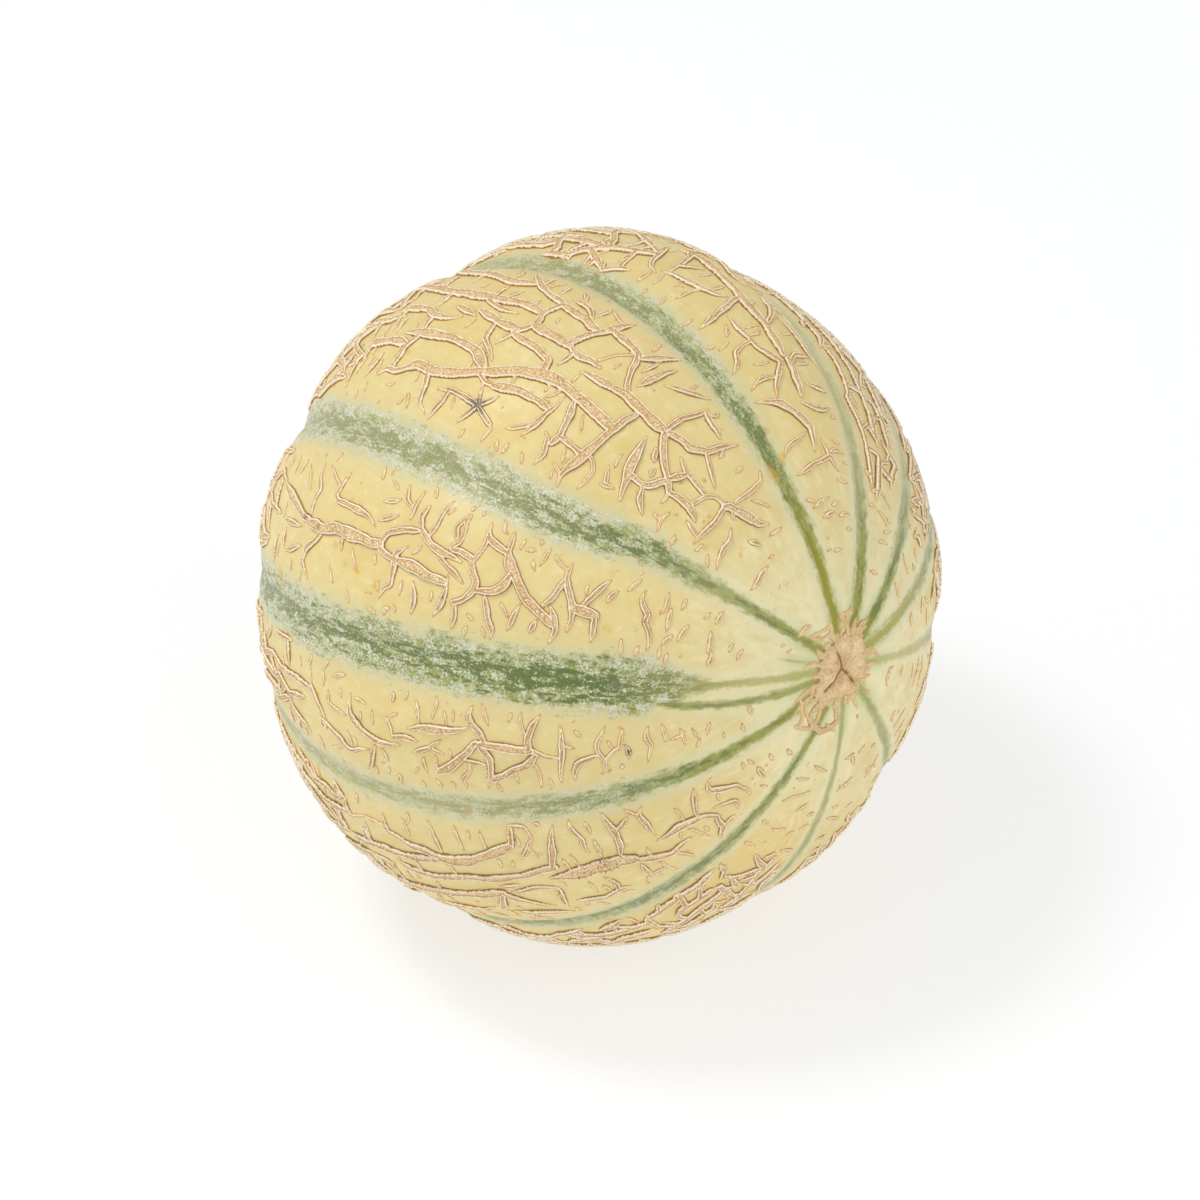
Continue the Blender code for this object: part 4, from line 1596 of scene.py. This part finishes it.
def stem_scar(group, material):
    """The round dry scar where the stem let go, with short cork fingers."""
    scar = EndScar(43, -1.0)
    halves, lines = [], []
    for order in range(STEM_FINGERS):
        angle = (order + scar.rng.uniform(-0.3, 0.3)) * 2.0 * math.pi / STEM_FINGERS
        reach = STEM_SCAR_MM + scar.rng.uniform(2.0, 8.0)
        bend = scar.rng.normal() * 0.22
        points = []
        for share in (0.0, 0.5, 1.0):
            radius = STEM_SCAR_MM - 0.8 + (reach - STEM_SCAR_MM + 0.8) * share
            turned = angle + bend * share
            points.append((radius * math.sin(turned), radius * math.cos(turned)))
        halves.append(scar.rng.uniform(0.40, 0.75))
        lines.append(scar.follow([scar.place_of(*point) for point in points]))
    scar.lay_by_hand(halves, lines)
    rim = []
    for order in range(STEM_CORNERS):
        angle = order * 2.0 * math.pi / STEM_CORNERS
        radius = STEM_SCAR_MM + scar.rng.uniform(-0.35, 0.35)
        rim.append((radius * math.sin(angle), radius * math.cos(angle)))
    scar.lay_plate(tuple(rim))
    values = scar.values()
    radius = scar.radius + scar.rough(9.0, 0.4)
    ring = np.exp(-(((radius - 5.0) / 0.8) ** 2)) * 0.55
    core = np.exp(-((radius / 1.5) ** 2)) * 0.35
    sunken = -0.20 * (radius < 4.2)
    folds = scar.pleats(30, 0.14) + scar.rough(2.0, 0.08)
    inner = ramp(values["edge"], 0.0, 1.2)
    values["relief"] = (0.2 + ring + core + sunken + folds) * inner * MM
    groove = np.clip(1.0 - np.abs(radius - 3.7) / 0.45, 0.0, 1.0)
    values["crack"] = groove * 0.8 * (scar.radius < 5.0)
    values["stain"] = np.clip(1.2 - radius / 4.5, 0.0, 0.5)
    name = "stem_scar"
    return cork_piece(name, scar.polar, scar.turn, values, group, material)


# ---------------------------------------------------------------- materials


def linear(red, green, blue):
    """A display colour of 0 to 255 as the shader's linear colour."""
    values = []
    for value in (red, green, blue):
        share = value / 255.0
        if share <= 0.04045:
            values.append(share / 12.92)
        else:
            values.append(((share + 0.055) / 1.055) ** 2.4)
    return (*values, 1.0)


SKIN = linear(227, 208, 144)
WARM_SKIN = linear(226, 196, 116)
DEEP_SKIN = linear(216, 192, 120)
GREEN_SKIN = linear(236, 228, 182)
CREAM_SKIN = linear(243, 231, 184)
# The stripes' dull edge, widened into painted shade beside the grooves; also the dull streaks
# near the blossom end.
HALO = linear(214, 203, 150)
MILKY_HALO = linear(226, 221, 180)
HAZE = linear(214, 212, 166)
MID_GREEN = linear(143, 152, 70)
LEAF_GREEN = linear(122, 137, 48)
DARK_GREEN = linear(58, 87, 30)
OLIVE_GREEN = linear(158, 150, 38)
FROST = linear(203, 205, 176)
# Painted highlight on the tops of the frost grains.
FROST_PAINTED_HIGHLIGHT = linear(232, 232, 214)
POLE_HAZE = linear(196, 202, 138)
ORANGE_SPOT = linear(206, 150, 60)
MARK = linear(222, 172, 40)
# Paler skin towards the bottom.
PALE_LOW_SKIN = linear(240, 222, 150)

CORK = linear(230, 201, 150)
CORK_CRUMB = linear(252, 234, 206)
# The cork's pale rim, made paler as a painted highlight on the raised lips.
CORK_LIP_AND_HIGHLIGHT = linear(255, 243, 216)
CORK_MIDDLE = linear(196, 153, 98)
# Dark brown at the foot of the cork's walls: the cork's own ochre border darkened by painted
# shade.
CORK_FOOT_BORDER_AND_SHADE = linear(142, 102, 46)
CORK_GLOW = linear(222, 172, 94)
CORK_SLIGHT = linear(244, 218, 156)
CORK_CRACK = linear(116, 82, 52)
CORK_STAIN = linear(98, 97, 78)
FLECK_TAN = linear(220, 178, 112)
FLECK_PALE = linear(240, 212, 162)


def shader_tree(name):
    """A new material with its tree, its shader and object coordinates."""
    material = bpy.data.materials.new(name)
    material.use_nodes = True
    tree = Tree(material.node_tree)
    shader = material.node_tree.nodes["Principled BSDF"]
    place = tree.use("ShaderNodeTexCoord", {}, "Object")
    return material, tree, shader, place


def kept_number(tree, name):
    """A number kept on the mesh, read by a material."""
    return tree.use("ShaderNodeAttribute", {}, "Fac", attribute_name=name)


def kept_numbers(tree, *names):
    """Several numbers kept on the mesh."""
    return [kept_number(tree, name) for name in names]


def add_bump(tree, shader, height, distance):
    """Fine relief."""
    given = {"Height": height, "Distance": distance, "Strength": 1.0}
    tree.feed(shader.inputs["Normal"], tree.use("ShaderNodeBump", given, "Normal"))


def skin_colour(tree, place, along, tone, streaks):
    """The skin between the stripes: butter yellow, greener near its end and paler towards the
    bottom.
    """
    warmth = tree.noise(place, 22.0, 2.0, 0.5) + tone * 0.25
    skin = tree.blend(tree.step(warmth, 0.52, 0.85, 0.0, 0.8), SKIN, WARM_SKIN)
    skin = tree.blend(tree.step(along, 8.0, 42.0, 0.9, 0.0), skin, GREEN_SKIN)
    long_streak = tree.noise(streaks, 0.55, 3.0, 0.6, 9.0)
    near_end = tree.step(along, 20.0, 48.0, 0.75, 0.25)
    share = tree.step(long_streak, 0.48, 0.7) * near_end
    skin = tree.blend(share, skin, CREAM_SKIN)
    share = tree.step(long_streak, 0.46, 0.3) * near_end * 0.6
    skin = tree.blend(share, skin, HALO)
    patches = tree.noise(place, 75.0, 3.0, 0.6, 17.0)
    skin = tree.blend(tree.step(patches, 0.48, 0.70, 0.0, 0.55), skin, DEEP_SKIN)
    mottle = tree.noise(place, 420.0, 3.0, 0.65)
    skin = tree.blend(tree.step(mottle, 0.50, 0.72, 0.0, 0.40), skin, WARM_SKIN)
    skin = tree.blend(tree.step(mottle, 0.46, 0.28, 0.0, 0.40), skin, CREAM_SKIN)
    # Paler towards the bottom, over the lowest 34 mm.
    height = tree.use("ShaderNodeSeparateXYZ", {0: place}, 2)
    low = tree.step(height, 34.0 * MM, 10.0 * MM, 0.0, 0.7)
    return tree.blend(low, skin, PALE_LOW_SKIN)


def stripe_green(tree, place, share, olive, streaks):
    """The green under the frost, with dark and olive veins, and the veins."""
    vein = tree.noise(streaks, 0.95, 4.0, 0.60, 7.0) + share * 0.12
    deep = tree.step(vein, 0.535, 0.625)
    blotch = tree.noise(place, 420.0, 3.0, 0.6, 4.0)
    green = tree.blend(tree.step(blotch, 0.38, 0.60), LEAF_GREEN, MID_GREEN)
    edge_olive = tree.step(tree.noise(streaks, 0.60, 3.0, 0.6, 15.0), 0.52, 0.64)
    edge_olive = edge_olive * tree.step(share, 0.85, 0.2, 0.0, 0.85)
    green = tree.blend(edge_olive, green, OLIVE_GREEN)
    green = tree.blend(deep * 0.8, green, DARK_GREEN)
    return tree.blend(olive, green, OLIVE_GREEN), deep


def frost_cover(tree, place, inside, half, strength, deep):
    """Pale grains packed over a wide stripe, thinner over its veins, and a painted highlight on
    each grain.
    """
    grains = tree.noise(place, 2300.0, 3.0, 0.60, 11.0, 0.6)
    clumps = tree.noise(place, 520.0, 2.0, 0.5, 31.0)
    level = 0.395 + deep * 0.115
    level = level + tree.step(clumps, 0.35, 0.65, 0.045, -0.045)
    level = level + tree.step(strength, 0.75, 0.95, -0.015, 0.03)
    level = level + tree.step(inside, -3.0, 0.2, 0.08, 0.0)
    cover = tree.step(grains, level, level + 0.15) * tree.step(half, 1.0, 3.3)
    cover = cover * tree.step(inside, -3.2, 0.0, 0.0, 0.86)
    return cover, cover * tree.step(grains - level, 0.13, 0.22, 0.0, 0.6)


def rind_material():
    """Butter yellow skin with speckled green stripes and pale edges, the edges widened into
    painted shade beside the grooves, and painted highlights on the frost.
    """
    material, tree, shader, place = shader_tree("netted rind")
    names = ("stripe_in", "stripe_half", "stripe_strength", "stripe_olive")
    inside, half, strength, olive = kept_numbers(tree, *names)
    names = ("groove_mm", "along_mm", "lobe_tone", "mark")
    across, along, tone, mark = kept_numbers(tree, *names)
    own = kept_number(tree, "stripe_own")

    streaks = tree.join_numbers(across, along * 0.32, own)
    skin = skin_colour(tree, place, along, tone, streaks)

    # The stripes' pale edge, widened beside the wide stripes into painted shade where the lobe
    # slopes down into the groove.
    halo_and_groove_shade = tree.step(inside, -2.4 - half * 0.85, -0.2, 0.0, 0.85) * strength
    halo_noise = tree.noise(streaks, 0.9, 4.0, 0.65, 2.0)
    halo_and_groove_shade = halo_and_groove_shade * tree.step(halo_noise, 0.3, 0.62, 0.45, 1.0)
    halo_and_shade_tint = tree.blend(tree.step(along, 28.0, 52.0), MILKY_HALO, HALO)
    skin = tree.blend(halo_and_groove_shade, skin, halo_and_shade_tint)

    coarse = tree.noise(streaks, 0.42, 3.0, 0.6) - 0.5
    fine = tree.noise(streaks, 1.3, 3.0, 0.6, 3.0) - 0.5
    torn = tree.noise(place, 650.0, 3.0, 0.65, 13.0) - 0.5
    depth = inside + (coarse + fine + torn) * half * 1.5
    haze = tree.step(depth, -2.2, 0.6, 0.0, 0.75)
    haze = haze * (strength * tree.step(half, 0.8, 2.0))
    skin = tree.blend(haze, skin, HAZE)
    near_scar = tree.step(along, 19.0, 9.0, 0.0, 0.65) * tree.step(inside, -2.2, 0.0)
    skin = tree.blend(near_scar, skin, POLE_HAZE)
    soft = half * tree.step(half, 1.0, 3.0, 0.6, 0.3)
    body = tree.step(depth, soft * -1.0, soft) * strength
    green, deep = stripe_green(tree, place, inside / half, olive, streaks)
    colour = tree.blend(body, skin, green)
    cover, frost_highlights = frost_cover(tree, place, inside, half, strength, deep)
    colour = tree.blend(cover, colour, FROST)
    # Painted highlight: the tops of the frost grains made paler, as if lit.
    colour = tree.blend(frost_highlights, colour, FROST_PAINTED_HIGHLIGHT)

    spots = tree.cells(place, 230.0)
    rare = tree.noise(place, 60.0, 1.0, 0.5, 5.0)
    spots = tree.step(spots, 0.24, 0.08) * tree.step(rare, 0.56, 0.66)
    colour = tree.blend(spots * 0.35, colour, ORANGE_SPOT)
    mark_noise = tree.noise(place, 700.0, 3.0, 0.6, 21.0)
    marked = tree.step(mark_noise, 0.35, 0.6) * tree.step(mark, 0.1, 0.7)
    colour = tree.blend(marked * 0.85, colour, MARK)
    tree.feed(shader.inputs["Base Color"], colour)

    gloss = tree.step(tree.noise(place, 420.0, 2.0), 0.3, 0.7, 0.36, 0.50)
    tree.feed(shader.inputs["Roughness"], gloss)
    shader.inputs["Specular IOR Level"].default_value = 0.42
    pores = tree.noise(place, 900.0, 3.0, 0.55)
    add_bump(tree, shader, pores + cover * 1.1, 0.05 * MM)
    return material


def cork_material(name, tint, lip_and_highlight_share, foot_border_and_shade_share, rough_share, fold_shading_share):
    """Dry tan cork with pale lifted lips and a grainy middle, with painted highlight on the lips,
    painted shade at the foot of the walls and, where asked, painted shade and highlight on the
    folds.
    """
    material, tree, shader, place = shader_tree(name)
    edge, size, tone = kept_numbers(tree, "edge", "size", "cork_tone")
    crack, seam, stain, pits = kept_numbers(tree, "crack", "seam", "stain", "pits")
    crumbs = tree.noise(place, 2700.0, 3.0, 0.65, 0.0, 0.6)
    patch = tree.noise(place, 420.0, 3.0, 0.6)

    share = 0.45 * rough_share
    body = tree.blend(tree.step(patch, 0.42, 0.66, 0.0, share), CORK, CORK_MIDDLE)
    share = 0.90 * rough_share
    body = tree.blend(tree.step(crumbs, 0.50, 0.39, 0.0, share), body, CORK_MIDDLE)
    body = tree.blend(tree.step(crumbs, 0.51, 0.61, 0.0, share), body, CORK_CRUMB)
    # Painted shade in the low folds and painted highlight on the high ones, read from the relief.
    if fold_shading_share:
        fold = (tree.noise(place, 900.0, 2.0, 0.5, 3.0) - 0.5) * (0.5 * MM)
        fold = kept_number(tree, "relief") + fold
        valley_shade = tree.step(fold, 0.30 * MM, -0.10 * MM, 0.0, fold_shading_share)
        body = tree.blend(valley_shade, body, CORK_MIDDLE)
        ridge_highlight = tree.step(fold, 0.35 * MM, 0.75 * MM, 0.0, fold_shading_share)
        body = tree.blend(ridge_highlight, body, CORK_CRUMB)
    lip_at = tree.math("MINIMUM", 0.20, size * 0.29)
    lip_half = tree.math("MINIMUM", 0.17, size * 0.26)
    away = tree.math("ABSOLUTE", edge - lip_at) / lip_half
    line = tree.math("ABSOLUTE", edge - (lip_at + lip_half + 0.07))
    line = tree.step(line, 0.12, 0.02) * tree.step(patch, 0.3, 0.6, 0.5, 1.0)
    body = tree.blend(line * lip_and_highlight_share, body, CORK_MIDDLE)
    # Pale lifted lips and the seams where ribbons meet: partly the cork's pale rim, partly
    # painted highlight.
    lip = tree.math("MAXIMUM", tree.step(away, 1.10, 0.50), tree.step(seam, 0.3, 0.9))
    body = tree.blend(lip * lip_and_highlight_share, body, CORK_LIP_AND_HIGHLIGHT)
    body = tree.blend(tree.step(size, 0.55, 0.32, 0.0, 0.35), body, CORK_SLIGHT)
    warmer = tree.step(tone, -1.0, 1.0) * 0.2
    body = tree.blend(warmer, body, linear(*tint), "MULTIPLY")
    # Painted shade at the foot of each ribbon's wall, dark brown close in and fading out to the
    # orange border; slim ribbons get mostly the orange border.
    slim = tree.step(size, 0.70, 0.35, 0.0, 0.6)
    outer = tree.math("MAXIMUM", tree.step(edge, -0.06, -0.18), slim)
    foot_border_and_shade = tree.blend(outer, CORK_FOOT_BORDER_AND_SHADE, CORK_GLOW)
    foot_border_and_shade_mask = tree.step(edge, 0.07, -0.01, 0.0, foot_border_and_shade_share)
    body = tree.blend(foot_border_and_shade_mask * tree.step(size, 0.32, 0.6, 0.7, 1.0), body, foot_border_and_shade)
    worn = tree.step(tree.noise(place, 55.0, 2.0, 0.5, 41.0), 0.54, 0.66, 0.0, 0.55)
    worn = worn * tree.step(edge, 0.25, 0.45)
    worn = tree.math("MAXIMUM", tree.step(pits, 0.0, 0.5), worn)
    holes = tree.step(crumbs, 0.45, 0.37) * worn
    dark = tree.math("MAXIMUM", tree.step(crack, 0.15, 0.8, 0.0, 0.75), holes)
    body = tree.blend(dark, body, CORK_CRACK)
    grime = stain + tree.step(crumbs, 0.35, 0.65, -0.3, 0.15) - lip * 0.22
    body = tree.blend(tree.step(grime, 0.25, 0.70, 0.0, 0.85), body, CORK_STAIN)
    tree.feed(shader.inputs["Base Color"], body)
    shader.inputs["Roughness"].default_value = 0.80
    shader.inputs["Specular IOR Level"].default_value = 0.28
    add_bump(tree, shader, crumbs, 0.14 * MM * (0.4 + 0.6 * rough_share))
    return material


def fleck_material():
    """Small tan specks of cork."""
    material, tree, shader, place = shader_tree("cork fleck")
    patch = tree.noise(place, 240.0, 2.0, 0.5)
    colour = tree.blend(tree.step(patch, 0.40, 0.62), FLECK_TAN, FLECK_PALE)
    tree.feed(shader.inputs["Base Color"], colour)
    shader.inputs["Roughness"].default_value = 0.75
    return material


# ------------------------------------------------------ stage, light, camera

FLOOR_HALF = 3.0
FLOOR_LOOK = {
    "Base Color": (0.45, 0.45, 0.45, 1.0),
    "Emission Color": (0.97, 0.985, 1.0, 1.0),
    "Emission Strength": 0.59,
    "Roughness": 0.9,
    "Specular IOR Level": 0.1,
}
SKY_STRENGTH = 0.56
VIEW_AZIMUTH = math.radians(42.4)
VIEW_ELEVATION = math.radians(38.0)
VIEW_DISTANCE = 1.0
PICTURE_WIDTH = 0.240
SENSOR_MM = 36.0
# How far the camera's aim lies right of the melon's middle and below it.
AIM_RIGHT_MM = 0.33
AIM_DOWN_MM = 2.0

# The lamps: how far right of the melon's middle, how far towards the camera
# and how far up, and the size, all in metres, then the power in watts.
LAMPS = {
    "soft key": (-0.55, 0.0, 1.20, 0.34, 6.1),
    "soft fill": (0.90, 0.80, 0.70, 1.2, 4.6),
    "soft side": (-1.05, 0.45, 0.35, 1.2, 2.8),
}


def make_floor():
    """A plain white floor."""
    points = [(-1, -1), (1, -1), (1, 1), (-1, 1)]
    mesh = bpy.data.meshes.new("floor")
    corners = [(x * FLOOR_HALF, y * FLOOR_HALF, 0.0) for x, y in points]
    mesh.from_pydata(corners, [], [(0, 1, 2, 3)])
    material, _, shader, _ = shader_tree("white floor")
    for name, value in FLOOR_LOOK.items():
        shader.inputs[name].default_value = value
    mesh.materials.append(material)
    floor = bpy.data.objects.new("floor", mesh)
    bpy.context.scene.collection.objects.link(floor)


def view_axes():
    """The camera's right, up and back directions."""
    a, e = VIEW_AZIMUTH, VIEW_ELEVATION
    back = Vector((math.sin(a) * math.cos(e), -math.cos(a) * math.cos(e), math.sin(e)))
    right = Vector((math.cos(a), math.sin(a), 0.0))
    return right, back.cross(right), back


def add_light(name, place, size, power):
    """A soft square lamp that faces the melon."""
    data = bpy.data.lights.new(name, "AREA")
    data.shape = "SQUARE"
    data.size = size
    data.energy = power
    lamp = bpy.data.objects.new(name, data)
    lamp.location = place
    aim = CENTRE - Vector(place)
    lamp.rotation_euler = aim.to_track_quat("-Z", "Y").to_euler()
    bpy.context.scene.collection.objects.link(lamp)


def make_light_and_camera():
    """Soft light from above, a white room and the camera."""
    right, up, back = view_axes()
    level = Vector((back.x, back.y, 0.0)).normalized()
    for name, (over, near, rise, size, power) in LAMPS.items():
        place = CENTRE + right * over + level * near + Vector((0.0, 0.0, rise))
        add_light(name, place, size, power)
    world = bpy.data.worlds.new("white room")
    world.use_nodes = True
    sky = world.node_tree.nodes["Background"]
    sky.inputs["Color"].default_value = (1.0, 1.0, 1.0, 1.0)
    sky.inputs["Strength"].default_value = SKY_STRENGTH
    scene = bpy.context.scene
    scene.world = world
    scene.view_settings.view_transform = "Standard"
    data = bpy.data.cameras.new("camera")
    data.sensor_width = SENSOR_MM
    data.lens = SENSOR_MM * VIEW_DISTANCE / PICTURE_WIDTH
    data.clip_start, data.clip_end = 0.05, 20.0
    camera = bpy.data.objects.new("camera", data)
    aim = CENTRE + right * AIM_RIGHT_MM * MM - up * AIM_DOWN_MM * MM
    camera.location = aim + back * VIEW_DISTANCE
    camera.rotation_euler = back.to_track_quat("Z", "Y").to_euler()
    scene.collection.objects.link(camera)
    scene.camera = camera


# ------------------------------------------------------------------ the lot


def ride_melon(piece):
    """Joins a piece to the melon's one body."""
    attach(piece, "root")


def main():
    """Builds the melon and its setting."""
    make_floor()
    make_light_and_camera()
    surface = surface_group()
    cork_rule = cork_tree(surface)
    cork = cork_material("dry cork", (248, 231, 199), 1.0, 0.90, 1.0, 0.0)
    scar_cork = cork_material("scar cork", (255, 243, 216), 0.34, 0.55, 0.48, 0.38)

    fields = rind_fields()
    polar, turn = fields.pop("polar"), fields.pop("turn")
    mesh = skin_mesh("rind", polar, turn, fields, closed=True)
    rind = lay_on_melon("rind", mesh, rind_tree(surface), rind_material())
    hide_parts("melon")
    ride_melon(rind)
    flecks = lay_on_melon("cork_flecks", rind.data.copy(), fleck_tree(), fleck_material())
    ride_melon(flecks)
    for index in range(LOBES):
        ride_melon(net_piece(index, cork_rule, cork))
    ride_melon(blossom_scar(cork_rule, scar_cork))
    ride_melon(stem_scar(cork_rule, scar_cork))


main()
